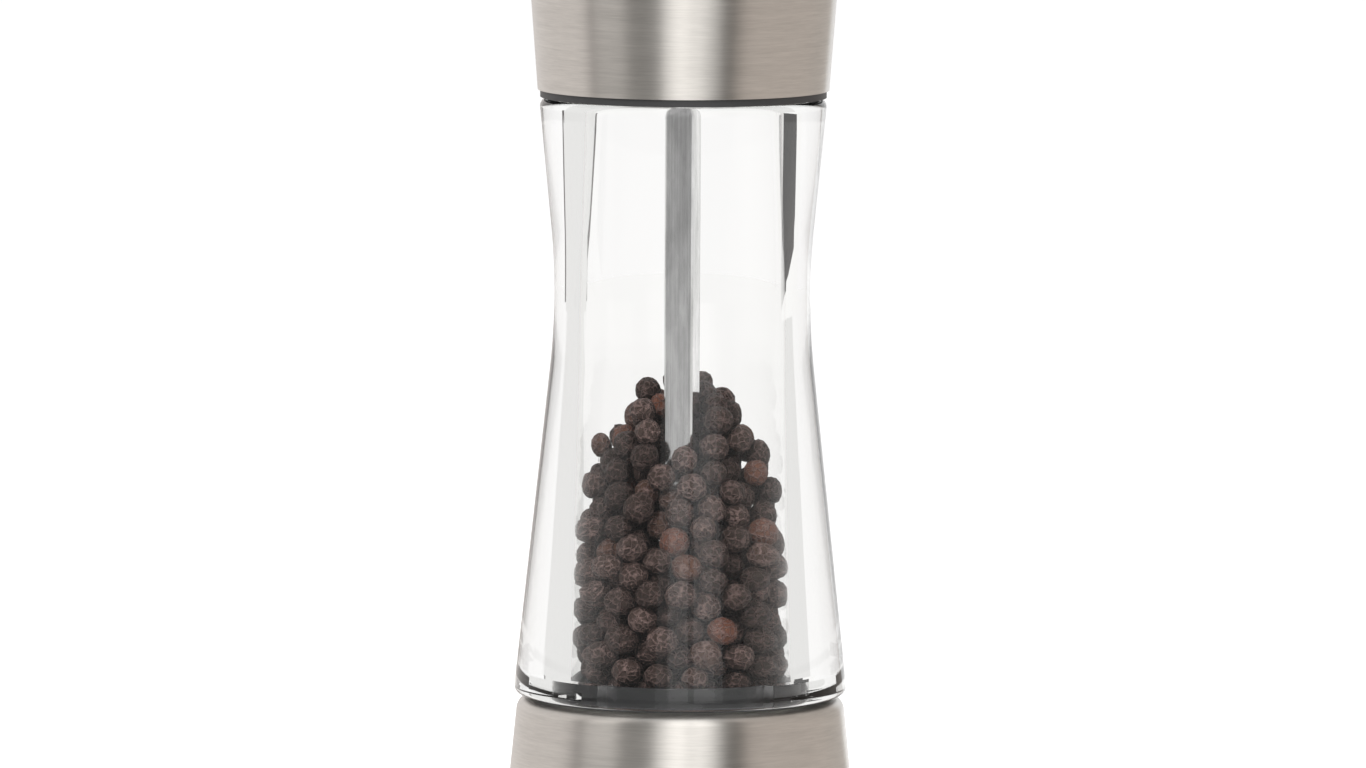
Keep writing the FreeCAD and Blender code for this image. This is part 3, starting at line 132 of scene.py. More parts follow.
# The lamps: place, side of the square and watts. Both look at one point.
LAMPS = {
    "key": ((-0.7, -1.1, 1.2), 0.8, 26),
    "fill": ((0.9, -0.9, 0.7), 0.7, 6),
}
LAMP_AIM = (0, 0, 0.1)

# The clear body's bayonet slots: angles in degrees, and half the width of the step at a slot's edge.
SLOT_COUNT = 3
LUG_MIDDLE = 80.0
LUG_WIDTH = 16.0
LUG_PLAY = 1.5
SLOT_RUN = 44.0
SLOT_MOUTH = 21.0
SLOT_EDGE = 2e-6

# Round on the cut edges of the steel sheet.
SHEET_EDGE = 0.12 * MM

# A peppercorn as shares of its radius in the heap: valleys, ridges over them, and how far it is from round.
CORN_VALLEY = 0.96
CORN_RIDGE = 0.17
CORN_SWELL = 0.05
# Ridges in a stretch of 2 pi radii, for each of the crossing sets of waves.
RIDGE_COUNTS = (4.5, 6.5, 8.5)
# The higher this power, the fewer corns are red.
DARK_CORNS = 1.5

# The colour sockets of a Mix node, whose names aren't unique.
COLOUR_A, COLOUR_B, COLOUR_RESULT = 6, 7, 2


def length(name, description, default):
    """A size that a user can change."""
    return FloatProperty(name=name, description=description, default=default, unit="LENGTH", precision=5)


def colour(name, description, default):
    """A colour that a user can change."""
    return FloatVectorProperty(
        name=name, description=description, default=default, subtype="COLOR", size=3, min=0, max=1
    )


def point(name, description, default):
    """A point that a user can move."""
    return FloatVectorProperty(
        name=name, description=description, default=default, subtype="XYZ", unit="LENGTH"
    )


def brightness(name, description, default):
    """A strength of light that a user can change."""
    return FloatProperty(name=name, description=description, default=default, min=0)


BODY_LOW, BODY_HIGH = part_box("clear_body")
COLLAR_LOW, COLLAR_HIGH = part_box("base_collar")
GRIP_LOW, GRIP_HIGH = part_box("grip_skin")
HEAD_LOW, HEAD_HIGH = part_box("head_shell")
COIL_LOW, COIL_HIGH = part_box("carrier_spring")


class MillSizes(bpy.types.PropertyGroup):
    """Sizes of the surfaces that stand for moulded, drawn and polished pieces."""

    body_foot: length("Body foot", "Clear body, outer radius at its foot before it is rounded", 31.9 * MM)
    body_top: length("Body top", "Clear body, outer radius at its top before it is rounded", 27.45 * MM)
    body_edge: length("Body edge", "Round on the clear body's outer edges", 1.6 * MM)
    waist: length("Waist", "Clear body, outer radius at its waist", 24.4 * MM)
    waist_rise: length("Waist rise", "Waist above the clear body's foot", 76.6 * MM)
    waist_arc: length("Waist curve", "Radius of the curve through the waist", 130 * MM)
    neck_radius: length("Neck", "Outer radius of the clear neck", 22 * MM)
    neck_height: length("Neck height", "Height of the clear neck", 5 * MM)
    bore_foot: length("Bore foot", "Pepper chamber, radius at its foot", 21.2 * MM)
    bore_top: length("Bore mouth", "Pepper chamber, radius at its mouth", 18.5 * MM)
    slot_depth: length("Slot depth", "Bayonet slot, radius of its floor", 24.7 * MM)
    slot_foot: length("Slot foot", "Bayonet slot, foot of its closed end above the body's foot", 1.1 * MM)
    slot_top: length("Slot top", "Bayonet slot, top above the body's foot", 3.7 * MM)
    shaft_corner: length("Shaft corner", "Corner of the square shaft, from the axis", 3.96 * MM)
    pepper_gap: length("Pepper gap", "Least gap between pepper and its chamber", 0.05 * MM)
    seat_gap: length("Seat gap", "Air under the clear body's foot", 0.03 * MM)
    steel_wall: length("Steel", "Sheet thickness of the steel skins", 0.7 * MM)
    collar_shoulder: length("Collar shoulder", "Collar, outer radius at its shoulder", 31.05 * MM)
    collar_round: length("Collar round", "Round of the collar's shoulder", 2.6 * MM)
    collar_lip: length("Collar hole", "Hole in the collar's turned-in top", 26 * MM)
    grip_lip: length("Grip lip", "Turned-in top of the grip ring's skin", 2.4 * MM)
    grip_round: length("Grip round", "Round of the grip ring's top edge", 1.0 * MM)
    head_foot: length("Head foot", "Head, outer radius at its foot", 27.75 * MM)
    head_brim: length("Head brim", "Head, outer radius at its brim before it is rounded", 30.75 * MM)
    head_dome: length("Head dome", "Rise of the head's crown above its brim", 2.2 * MM)
    head_round: length("Head round", "Round of the head's brim", 4.5 * MM)
    coil_wire: length("Coil wire", "Wire radius of the spring over the burr carrier", 0.6 * MM)
    coil_turns: IntProperty(name="Coil turns", description="Turns of that spring", default=3, min=1, max=20)
    facets: IntProperty(name="Facets", description="Sides of a turned surface", default=192, min=48, max=512)


class MillFinish(bpy.types.PropertyGroup):
    """Colours of the finishes."""

    steel: colour("Steel", "Brushed steel", (0.655, 0.635, 0.603))
    acrylic: colour("Acrylic", "Clear body", (0.992, 0.990, 0.986))
    plastic: colour("Dark plastic", "Moulded inner pieces", (0.018, 0.018, 0.019))
    slip: colour("Pale plastic", "Glide ring and washer", (0.72, 0.71, 0.67))
    rubber: colour("Rubber", "Gasket", (0.03, 0.03, 0.03))
    shaft: colour("Shaft", "Drawn shaft", (0.84, 0.84, 0.84))
    burr: colour("Burr steel", "Hardened burrs", (0.28, 0.28, 0.29))
    bright: colour("Bright steel", "Springs, screws and washers", (0.6, 0.6, 0.62))
    pepper: colour("Pepper", "Most peppercorns", (0.011, 0.0065, 0.0048))
    pepper_brown: colour("Brown pepper", "Corns between dark and red", (0.05, 0.022, 0.012))
    pepper_red: colour("Red pepper", "The few redder corns", (0.125, 0.043, 0.024))
    pepper_dust: colour("Pepper dust", "Worn wrinkles of the corns", (0.20, 0.135, 0.122))


class MillStage(bpy.types.PropertyGroup):
    """The camera and the light."""

    eye: point("Camera", "Place of the camera", (0.0002, -2.596, 0.3422))
    aim: point("Aim", "Point in the middle of the picture", (0.0002, 0, 0.0917))
    focal_pixels: FloatProperty(
        name="Focal length", description="Focal length in pixels of the picture", default=13690, min=100
    )
    roll: FloatProperty(
        name="Roll", description="Roll of the camera", default=math.radians(0.3), subtype="ANGLE"
    )
    ambient: brightness("Ambient", "Strength of the light from all round", 0.6)
    floor_glow: brightness("Floor glow", "Strength of the floor's own light", 0.4)


class Wire:
    """A shader value. Python's operators on it add Math nodes."""

    def __init__(self, tree, socket):
        self.tree = tree
        self.socket = socket

    def maths(self, operation, *values):
        """A Math node on values or wires."""
        node = self.tree.nodes.new("ShaderNodeMath")
        node.operation = operation
        for socket, value in zip(node.inputs, values):
            put(self.tree, socket, value)
        return Wire(self.tree, node.outputs[0])

    def __add__(self, other):
        return self.maths("ADD", self, other)

    __radd__ = __add__

    def __mul__(self, other):
        return self.maths("MULTIPLY", self, other)

    __rmul__ = __mul__

    def __sub__(self, other):
        return self.maths("SUBTRACT", self, other)

    def __rsub__(self, other):
        return self.maths("SUBTRACT", other, self)

    def __truediv__(self, other):
        return self.maths("DIVIDE", self, other)

    def __rtruediv__(self, other):
        return self.maths("DIVIDE", other, self)

    def root(self):
        return self.maths("SQRT", self)

    def at_most(self, other):
        return self.maths("MINIMUM", self, other)

    def at_least(self, other):
        return self.maths("MAXIMUM", self, other)


def put(tree, socket, value):
    """Links a wire to a socket, or sets the socket's own value."""
    if isinstance(value, Wire):
        tree.links.new(value.socket, socket)
    elif socket.type == "RGBA" and len(value) == 3:
        socket.default_value = (*value, 1)
    else:
        socket.default_value = value


class Nodes:
    """The node tree of a material or a world, under construction."""

    def __init__(self, owner):
        owner.use_nodes = True
        self.tree = owner.node_tree
        self.tree.nodes.clear()

    def node(self, kind, settings=None, inputs=None, output=0):
        """One node: its settings are set first, then the values or links of its sockets.
        Gives the output that is named, or a list of them where a tuple names several."""
        node = self.tree.nodes.new(f"ShaderNode{kind}")
        for name, value in (settings or {}).items():
            if name == "stops":
                self.set_stops(node, value)
            else:
                setattr(node, name, value)
        for name, value in (inputs or {}).items():
            put(self.tree, node.inputs[name], value)
        if isinstance(output, tuple):
            return [Wire(self.tree, node.outputs[name]) for name in output]
        return Wire(self.tree, node.outputs[output])

    def set_stops(self, node, stops):
        """A ramp's stops, each a place and a grey or a colour."""
        elements = node.color_ramp.elements
        while len(elements) < len(stops):
            elements.new(0.5)
        for element, (place, tone) in zip(elements, stops):
            element.position = place
            element.color = (tone, tone, tone, 1) if isinstance(tone, float) else (*tone, 1)


class Finish(Nodes):
    """A material under construction."""

    def __init__(self, name):
        self.material = bpy.data.materials.new(name)
        super().__init__(self.material)

    def ramp(self, value, *stops):
        """A value turned into a grey or a colour."""
        return self.node("ValToRGB", {"stops": stops}, {"Fac": value})

    def place(self):
        """The piece's own coordinates, in metres."""
        return self.node("TexCoord", output="Object")

    def scaled(self, vector, scale):
        """A vector stretched by a factor along each axis."""
        return self.node("VectorMath", {"operation": "MULTIPLY"}, {0: vector, 1: scale})

    def noise(self, vector, scale=1.0, detail=2.0, roughness=0.5, output=0):
        """Soft noise, as a value or as a colour."""
        inputs = {"Vector": vector, "Scale": scale, "Detail": detail, "Roughness": roughness}
        return self.node("TexNoise", {}, inputs, output)

    def mix(self, share, first, second, blend="MIX"):
        """A mix of two colours."""
        settings = {"data_type": "RGBA", "blend_type": blend}
        inputs = {"Factor": share, COLOUR_A: first, COLOUR_B: second}
        return self.node("Mix", settings, inputs, COLOUR_RESULT)

    def bump(self, height, strength, distance):
        """A normal that a height tilts."""
        return self.node("Bump", {}, {"Height": height, "Strength": strength, "Distance": distance})

    def surface(self, **sockets):
        """The Principled shader. Socket names are given with underscores for spaces."""
        return self.node("BsdfPrincipled", {}, {k.replace("_", " "): v for k, v in sockets.items()})

    def done(self, shader):
        """The material with this shader on its surface."""
        self.node("OutputMaterial", {}, {"Surface": shader}, output=())
        return self.material


def shade(tone, factor, lift=0.0):
    """A colour made darker or lighter."""
    return tuple(min(1, part * factor + lift) for part in tone)


def ring_place(finish):
    """Coordinates that follow the turning marks of a lathe: two of them go round the axis,
    and the third runs along the section, as height plus distance from the axis."""
    x, y, z = finish.node("SeparateXYZ", {}, {"Vector": finish.place()}, output=("X", "Y", "Z"))
    above_zero = 1e-9
    out = (x * x + y * y + above_zero).root()
    return finish.node("CombineXYZ", {}, {"X": x / out, "Y": y / out, "Z": z + out})


def brushed_steel(finishes):
    """Steel brushed round the axis: streaks some millimetres long and a third of a millimetre apart,
    over longer and broader ones."""
    finish = Finish("brushed_steel")
    marks = ring_place(finish)
    fine = finish.noise(finish.scaled(marks, (5.0, 5.0, 3000.0)), detail=3.0, roughness=0.7)
    coarse = finish.noise(finish.scaled(marks, (1.2, 1.2, 900.0)), roughness=0.6)
    cloud = finish.noise(finish.place(), scale=55.0, detail=3.0, roughness=0.6)
    streak = fine * 0.65 + coarse * 0.35
    tone = finish.ramp(streak, (0.32, 0.80), (0.68, 1.0))
    return finish.done(finish.surface(
        Base_Color=finish.mix(1.0, finishes.steel, tone, blend="MULTIPLY"),
        Metallic=1.0,
        Roughness=0.24 + streak * 0.12 + cloud * 0.05,
        Normal=finish.bump(streak, strength=0.10, distance=0.05 * MM),
        Anisotropic=0.7,
        Anisotropic_Rotation=0.25,
    ))


def clear_acrylic(finishes):
    """Thick clear acrylic with a polished face, which mirrors weakly so that the pepper behind it stays dark.
    Shadow rays pass, so that the pepper is lit."""
    finish = Finish("clear_acrylic")
    haze = finish.noise(finish.place(), scale=120.0)
    glass = finish.surface(
        Base_Color=finishes.acrylic,
        Roughness=haze * 0.012,
        IOR=1.49,
        Transmission_Weight=1.0,
        Specular_Tint=(0.4, 0.4, 0.4),
    )
    through = finish.node("BsdfTransparent", {}, {"Color": (0.96, 0.97, 0.97)})
    shadow = finish.node("LightPath", output="Is Shadow Ray")
    return finish.done(finish.node("MixShader", {}, {0: shadow, 1: glass, 2: through}))


def moulded_plastic(name, tone, grain=1800.0, rough=0.42):
    """Moulded plastic with a fine spark-eroded grain and slight flow marks."""
    finish = Finish(name)
    place = finish.place()
    fine = finish.noise(place, scale=grain)
    flow = finish.noise(place, scale=60.0, detail=3.0)
    return finish.done(finish.surface(
        Base_Color=finish.mix(flow, tone, shade(tone, 1.25, lift=0.002)),
        Roughness=rough + fine * 0.12 + flow * 0.05,
        Normal=finish.bump(fine, strength=0.12, distance=0.1 * MM),
    ))


def drawn_metal(name, tone, rough):
    """Metal drawn along its length: fine lines that run with the axis, and blotches where it has dulled."""
    finish = Finish(name)
    place = finish.place()
    lines = finish.noise(finish.scaled(place, (3500.0, 3500.0, 30.0)), detail=3.0)
    blotch = finish.noise(finish.scaled(place, (260.0, 260.0, 60.0)), detail=4.0, roughness=0.6)
    bare = finish.ramp(blotch * 0.7 + lines * 0.3, (0.36, 0.0), (0.62, 1.0))
    return finish.done(finish.surface(
        Base_Color=finish.mix(bare, shade(tone, 0.62), tone),
        Metallic=1.0,
        Roughness=rough + lines * 0.06 + blotch * 0.06,
        Normal=finish.bump(lines, strength=0.04, distance=0.05 * MM),
    ))


def ground_metal(name, tone, rough):
    """Cut and hardened metal with tool marks and a mottled tint."""
    finish = Finish(name)
    marks = finish.noise(finish.scaled(ring_place(finish), (4.0, 4.0, 1800.0)), detail=3.0)
    cloud = finish.noise(finish.place(), scale=220.0, detail=4.0)
    return finish.done(finish.surface(
        Base_Color=finish.mix(cloud, shade(tone, 0.7), tone),
        Metallic=1.0,
        Roughness=rough + marks * 0.15 + cloud * 0.08,
        Normal=finish.bump(marks, strength=0.15, distance=0.1 * MM),
    ))


def dried_pepper(finishes):
    """Dried berries: dark skin in a net of paler wrinkles, each corn with a tone of its own."""
    finish = Finish("dried_pepper")
    place = finish.place()
    tone = finish.node("Attribute", {"attribute_name": "tone"}, output="Fac")
    ridge = finish.node("Attribute", {"attribute_name": "ridge"}, output="Fac")
    stray = finish.noise(place, scale=700.0, output="Color")
    bent = finish.node("VectorMath", {"operation": "MULTIPLY_ADD"}, {0: stray, 1: (1.6 * MM,) * 3, 2: place})
    cells = finish.node("TexVoronoi", {"feature": "DISTANCE_TO_EDGE"}, {"Vector": bent, "Scale": 780.0})
    net = 1 - (cells * 6.5).at_most(1.0)
    grain = finish.noise(place, scale=3200.0, detail=3.0)
    skin = finish.ramp(
        tone, (0.0, finishes.pepper), (0.72, shade(finishes.pepper, 2.2)),
        (0.9, finishes.pepper_brown), (1.0, finishes.pepper_red),
    )
    age = finish.ramp(tone, (0.0, 0.35), (0.7, 1.0), (0.9, 0.8), (1.0, 0.6))
    worn = ((net * 0.9 + ridge * 0.2 + grain * grain * 0.3) * age).at_most(0.9)
    relief = net + grain * 0.5 + ridge
    return finish.done(finish.surface(
        Base_Color=finish.mix(worn, skin, finishes.pepper_dust),
        Roughness=0.45 + grain * 0.25,
        Specular_IOR_Level=0.25,
        Normal=finish.bump(relief, strength=0.9, distance=0.4 * MM),
    ))


def mesh_piece(name, vertices, faces, material, crease=32.0):
    """A mesh object from arrays, smooth apart from edges sharper than the crease, faces outwards."""
    mesh = bpy.data.meshes.new(name)
    mesh.from_pydata(vertices.tolist(), [], faces)
    work = bmesh.new()
    work.from_mesh(mesh)
    bmesh.ops.recalc_face_normals(work, faces=work.faces)
    work.to_mesh(mesh)
    work.free()
    mesh.shade_smooth()
    mesh.set_sharp_from_angle(angle=math.radians(crease))
    mesh.materials.append(material)
    piece = bpy.data.objects.new(name, mesh)
    bpy.context.scene.collection.objects.link(piece)
    return piece


def arc(centre, radius, start, end, count):
    """Points of a circle's arc between two angles."""
    angles = np.linspace(start, end, count)
    return np.stack([centre[0] + radius * np.cos(angles), centre[1] + radius * np.sin(angles)], axis=1)


def round_corner(before, corner, after, radius, count=9):
    """The arc that rounds a corner between two straight runs."""
    to_before = (before - corner) / np.linalg.norm(before - corner)
    to_after = (after - corner) / np.linalg.norm(after - corner)
    half = math.acos(np.clip(to_before @ to_after, -1, 1)) / 2
    middle = to_before + to_after
    centre = corner + middle / np.linalg.norm(middle) * (radius / math.sin(half))
    ends = [corner + way * (radius / math.tan(half)) - centre for way in (to_before, to_after)]
    start, end = (math.atan2(e[1], e[0]) for e in ends)
    sweep = (end - start + math.pi) % TURN - math.pi
    return arc(centre, radius, start, start + sweep, count)


def rounded_path(corners, radii, count=9):
    """A closed section through corners, each rounded by its radius where that isn't zero."""
    corners = np.asarray(corners, float)
    pieces = []
    for i, radius in enumerate(radii):
        before, corner, after = corners[i - 1], corners[i], corners[(i + 1) % len(corners)]
        pieces.append(round_corner(before, corner, after, radius, count) if radius else corner[None])
    return np.concatenate(pieces)


def grid_faces(rows, columns, rows_close=True, columns_close=True):
    """Quads between neighbouring rows and columns of a grid, whose last row or column may join its first."""
    last_row = rows if rows_close else rows - 1
    last_column = columns if columns_close else columns - 1
    i, j = np.meshgrid(np.arange(last_row), np.arange(last_column), indexing="ij")
    i2, j2 = (i + 1) % rows, (j + 1) % columns
    return np.stack(
        [i * columns + j, i * columns + j2, i2 * columns + j2, i2 * columns + j], axis=-1
    ).reshape(-1, 4)


def round_axis(radius, height, angles):
    """Points at these distances from the axis, heights and angles round it, as one list."""
    radius, height, angles = np.broadcast_arrays(radius, height, angles)
    return np.stack([radius * np.cos(angles), radius * np.sin(angles), height], axis=-1).reshape(-1, 3)


def even_angles(facets):
    """Angles that part a full turn evenly."""
    return np.arange(facets) * TURN / facets


def turned_ring(name, section, material, facets):
    """A closed section carried round the axis."""
    points = round_axis(section[:, :1], section[:, 1:], even_angles(facets))
    return mesh_piece(name, points, grid_faces(len(section), facets).tolist(), material)


def turned_cup(name, section, material, facets):
    """An open section carried round the axis, whose two ends lie on the axis and close in fans."""
    ring = section[1:-1]
    points = round_axis(ring[:, :1], ring[:, 1:], even_angles(facets))
    poles = np.array([[0, 0, section[0, 1]], [0, 0, section[-1, 1]]])
    step = np.arange(facets)
    following = (step + 1) % facets
    first_pole, last_pole = np.full(facets, len(points)), np.full(facets, len(points) + 1)
    last_row = len(points) - facets
    fans = np.concatenate([
        np.stack([first_pole, step, following], axis=1),
        np.stack([last_pole, last_row + following, last_row + step], axis=1),
    ])
    faces = grid_faces(len(ring), facets, rows_close=False).tolist() + fans.tolist()
    return mesh_piece(name, np.concatenate([points, poles]), faces, material)


def tangent_point(outside, centre, radius, side):
    """Where the line from a point touches a circle, on one side of the line between them."""
    gap = centre - outside
    span = np.linalg.norm(gap)
    heading = math.atan2(gap[1], gap[0]) + side * math.asin(radius / span)
    return outside + np.array([math.cos(heading), math.sin(heading)]) * math.sqrt(span ** 2 - radius ** 2)


def waisted_side(sizes, base, top):
    """The clear body's outside, from its shoulder down to its foot: a rounded edge, a straight flank,
    the waist's arc, a straight flank and a rounded edge."""
    high = np.array([sizes.body_top, top])
    low = np.array([sizes.body_foot, base])
    centre = np.array([sizes.waist + sizes.waist_arc, base + sizes.waist_rise])
    meet_high = tangent_point(high, centre, sizes.waist_arc, -1)
    meet_low = tangent_point(low, centre, sizes.waist_arc, 1)
    start, end = (math.atan2(p[1] - centre[1], p[0] - centre[0]) % TURN for p in (meet_high, meet_low))
    shoulder = np.array([sizes.neck_radius, top])
    floor = np.array([sizes.bore_foot, base])
    return np.concatenate([
        round_corner(shoulder, high, meet_high, sizes.body_edge, count=12),
        arc(centre, sizes.waist_arc, start, end, count=40),
        round_corner(meet_low, low, floor, sizes.body_edge, count=12),
    ])


def slot_edges():
    """Angles of the bayonet slots: for each, the start and end of its run, and the start of its mouth."""
    first = LUG_MIDDLE - LUG_WIDTH / 2 - LUG_PLAY
    starts = first + np.arange(SLOT_COUNT) * 360 / SLOT_COUNT
    return np.radians(np.stack([starts, starts + SLOT_RUN, starts + SLOT_RUN - SLOT_MOUTH], axis=1))


def clear_body(sizes, material, bore_rows=24):
    """The clear body as one grid: rows go round its section, columns round its axis. Along the bore
    the radius is the drafted wall's, or the slot's floor where height and angle lie in a bayonet slot."""
    base, neck_top = BODY_LOW.z + sizes.seat_gap, BODY_HIGH.z
    top = neck_top - sizes.neck_height
    marks = slot_edges().reshape(-1)
    step = SLOT_EDGE / sizes.bore_foot
    angles = np.concatenate([even_angles(sizes.facets), (marks - step) % TURN, (marks + step) % TURN])
    angles = np.unique(angles)
    slot_foot, slot_top = base + sizes.slot_foot, base + sizes.slot_top
    heights = np.concatenate([
        [base],
        [slot_foot - SLOT_EDGE, slot_foot + SLOT_EDGE],
        [slot_top - SLOT_EDGE, slot_top + SLOT_EDGE],
        np.linspace(slot_top, neck_top, bore_rows)[1:],
    ])
    share = (heights - base) / (neck_top - base)
    wall = sizes.bore_foot + share * (sizes.bore_top - sizes.bore_foot)
    bore = np.repeat(wall[:, None], len(angles), axis=1)
    low = (heights < slot_top)[:, None]
    run = low & (heights > slot_foot)[:, None]
    for start, end, mouth in slot_edges():
        inside = ((angles - start) % TURN < end - start)[None]
        open_end = ((angles - mouth) % TURN < end - mouth)[None]
        bore = np.where((run & inside) | (low & open_end), sizes.slot_depth, bore)
    side = waisted_side(sizes, base, top)
    outer = np.concatenate([[[sizes.neck_radius, neck_top], [sizes.neck_radius, top]], side])
    radius = np.concatenate([bore, np.repeat(outer[:, :1], len(angles), axis=1)])
    height = np.concatenate([heights, outer[:, 1]])[:, None]
    faces = grid_faces(len(radius), len(angles))
    return mesh_piece("clear_wall", round_axis(radius, height, angles), faces.tolist(), material)


def collar_section(sizes):
    """The collar: flared wall, rounded shoulder, turned-in top."""
    foot, top, wall = COLLAR_LOW.z, COLLAR_HIGH.z, sizes.steel_wall
    out, shoulder, lip = COLLAR_HIGH.x, sizes.collar_shoulder, sizes.collar_lip
    corners = [
        (out, foot), (shoulder, top), (lip, top),
        (lip, top - wall), (shoulder - wall, top - wall), (out - wall, foot),
    ]
    bend = sizes.collar_round
    return rounded_path(corners, [SHEET_EDGE, bend, SHEET_EDGE, SHEET_EDGE, bend - wall, SHEET_EDGE])


def grip_section(sizes):
    """The grip ring's skin: upright wall, rounded top edge, turned-in top."""
    foot, top, wall = GRIP_LOW.z, GRIP_HIGH.z, sizes.steel_wall
    out = GRIP_HIGH.x
    lip = out - wall - sizes.grip_lip
    corners = [
        (out - wall, foot), (out, foot), (out, top),
        (lip, top), (lip, top - wall), (out - wall, top - wall),
    ]
    return rounded_path(corners, [SHEET_EDGE, SHEET_EDGE, sizes.grip_round, SHEET_EDGE, SHEET_EDGE, 0])


def head_section(sizes):
    """The head: a low crown, a rounded brim and a flared wall outside, and the same inside,
    set in by the sheet's thickness."""
    foot, top, wall = HEAD_LOW.z, HEAD_HIGH.z, sizes.steel_wall
    lean = (sizes.head_brim - sizes.head_foot) / (top - sizes.head_dome - foot)

    def shell(foot_radius, brim_radius, brim_level, crown_level, brim_round):
        """Crown to foot: an arc that is square to the axis, then the brim's round, then the wall."""
        rise = crown_level - brim_level
        crown = (brim_radius ** 2 + rise ** 2) / (2 * rise)
        angle = math.asin(brim_radius / crown)
        dome = arc((0, crown_level - crown), crown, math.pi / 2, math.pi / 2 - angle, count=60)
        brim = round_corner(dome[-6], dome[-1], np.array([foot_radius, foot]), brim_round, count=14)
        least_gap = 0.1 * MM
        crown_arc = dome[dome[:, 0] < brim[0, 0] - least_gap]
        return np.concatenate([crown_arc, brim, [[foot_radius, foot]]])

    outside = shell(sizes.head_foot, sizes.head_brim, top - sizes.head_dome, top, sizes.head_round)
    inside = shell(
        sizes.head_foot - wall, sizes.head_brim - wall * (1 + lean), top - sizes.head_dome - wall, top - wall,
        sizes.head_round - wall,
    )
    return np.concatenate([outside, inside[::-1]])


def coil_spring(sizes, material, steps=192, sides=12):
    """The spring over the burr carrier: a circle that stands in a plane through the axis, carried round it
    and evenly upwards. Each end is closed by a flat face."""
    wire = sizes.coil_wire
    turn = np.linspace(0, TURN * sizes.coil_turns, steps)[:, None]
    around = even_angles(sides)
    out = COIL_HIGH.x - wire + wire * np.cos(around)
    low, high = COIL_LOW.z + wire, COIL_HIGH.z - wire
    level = low + (high - low) * turn / turn[-1] + wire * np.sin(around)
    ends = np.arange(steps * sides).reshape(steps, sides)[[0, -1]].tolist()
    faces = grid_faces(steps, sides, rows_close=False).tolist() + ends
    return mesh_piece("pressed_coil", round_axis(out, level, turn), faces, material)


def corn_places():
    """Centres and radii of the peppercorns, from the solids of the heap: corners that coincide are merged,
    and those of one solid are found by handing the lowest label on along its edges."""
    mesh = frame["nodes"]["peppercorns"].data
    points = np.zeros(len(mesh.vertices) * 3)
    mesh.vertices.foreach_get("co", points)
    keys, index = np.unique(np.round(points.reshape(-1, 3), decimals=6), axis=0, return_inverse=True)
    corners = np.zeros(len(mesh.loops), int)
    mesh.loops.foreach_get("vertex_index", corners)
    triangles = index.reshape(-1)[corners].reshape(-1, 3)
    label = np.arange(len(keys))
    while True:
        lowest = label[triangles].min(axis=1)
        fresh = label.copy()
        np.minimum.at(fresh, triangles.reshape(-1), np.repeat(lowest, 3))
        if (fresh == label).all():
            break
        label = fresh
    _, owner, counts = np.unique(label, return_inverse=True, return_counts=True)
    owner = owner.reshape(-1)
    centres = np.stack([np.bincount(owner, keys[:, k]) for k in range(3)], axis=1) / counts[:, None]
    reach = np.linalg.norm(keys - centres[owner], axis=1)
    return centres, np.bincount(owner, reach) / counts


def ball_grid(cuts):
    """A cube of cuts by cuts squares a side, blown up to a ball: unit directions and quads."""
    side = np.tan(np.linspace(-math.pi / 4, math.pi / 4, cuts + 1))
    a, b = np.meshgrid(side, side, indexing="ij")
    one = np.ones_like(a)
    sheets = [(a, b, one), (b, a, -one), (one, a, b), (-one, b, a), (b, one, a), (a, -one, b)]
    points = np.concatenate([np.stack(s, axis=-1).reshape(-1, 3) for s in sheets])
    cell = np.arange((cuts + 1) ** 2).reshape(cuts + 1, cuts + 1)
    quads = np.stack([cell[:-1, :-1], cell[1:, :-1], cell[1:, 1:], cell[:-1, 1:]], axis=-1).reshape(-1, 4)
    faces = np.concatenate([quads + k * cell.size for k in range(6)])
    keys, index = np.unique(np.round(points, decimals=9), axis=0, return_inverse=True)
    return keys / np.linalg.norm(keys, axis=1, keepdims=True), index.reshape(-1)[faces]


def peppercorns(sizes, material, seed=11, cuts=4):
    """The heap: every corn is the same few quads on a ball, pushed in and out by crossing sets of waves
    of its own, whose crests are sharpened into ridges. What reaches the chamber's wall or the shaft
    lies flat on it."""
    draw = np.random.default_rng(seed)
    centres, radii = corn_places()
    count = len(centres)
    ways, quads = ball_grid(cuts)
    turns = np.linalg.qr(draw.normal(size=(count, 3, 3)))[0]
    local = np.einsum("vk,ckj->cvj", ways, turns)
    ridge = np.zeros(local.shape[:2])
    for ridges in RIDGE_COUNTS:
        heading = draw.normal(size=(count, 1, 3))
        heading /= np.linalg.norm(heading, axis=-1, keepdims=True)
        phase = draw.uniform(0, TURN, size=(count, 1))
        wave = np.sin(ridges / 2 * (local * heading).sum(-1) + phase)
        ridge += (1 - np.abs(wave)) ** 2 / len(RIDGE_COUNTS)
    swell = 1 + CORN_SWELL * np.sin(2 * local[..., 0] + draw.uniform(0, TURN, size=(count, 1)))
    reach = radii[:, None] * swell * (CORN_VALLEY + CORN_RIDGE * ridge)
    points = centres[:, None] + ways[None] * reach[..., None]
    out = np.linalg.norm(points[..., :2], axis=-1)
    share = (points[..., 2] - BODY_LOW.z) / (BODY_HIGH.z - BODY_LOW.z)
    wall = sizes.bore_foot + share * (sizes.bore_top - sizes.bore_foot) - sizes.pepper_gap
    points[..., :2] *= (np.clip(out, sizes.shaft_corner + sizes.pepper_gap, wall) / out)[..., None]
    faces = (quads[None] + (np.arange(count) * len(ways))[:, None, None]).reshape(-1, 4)
    piece = mesh_piece("pepper_heap", points.reshape(-1, 3), faces.tolist(), material, crease=180.0)
    tone = np.repeat(draw.uniform(0, 1, size=count) ** DARK_CORNS, len(ways))
    for name, values in (("tone", tone), ("ridge", ridge.reshape(-1))):
        layer = piece.data.attributes.new(name, "FLOAT", "POINT")
        layer.data.foreach_set("value", values.astype(np.float32))
    return piece


def paint(node, material):
    """Gives a CAD node its finish."""
    mesh = frame["nodes"][node].data
    mesh.materials.clear()
    mesh.materials.append(material)


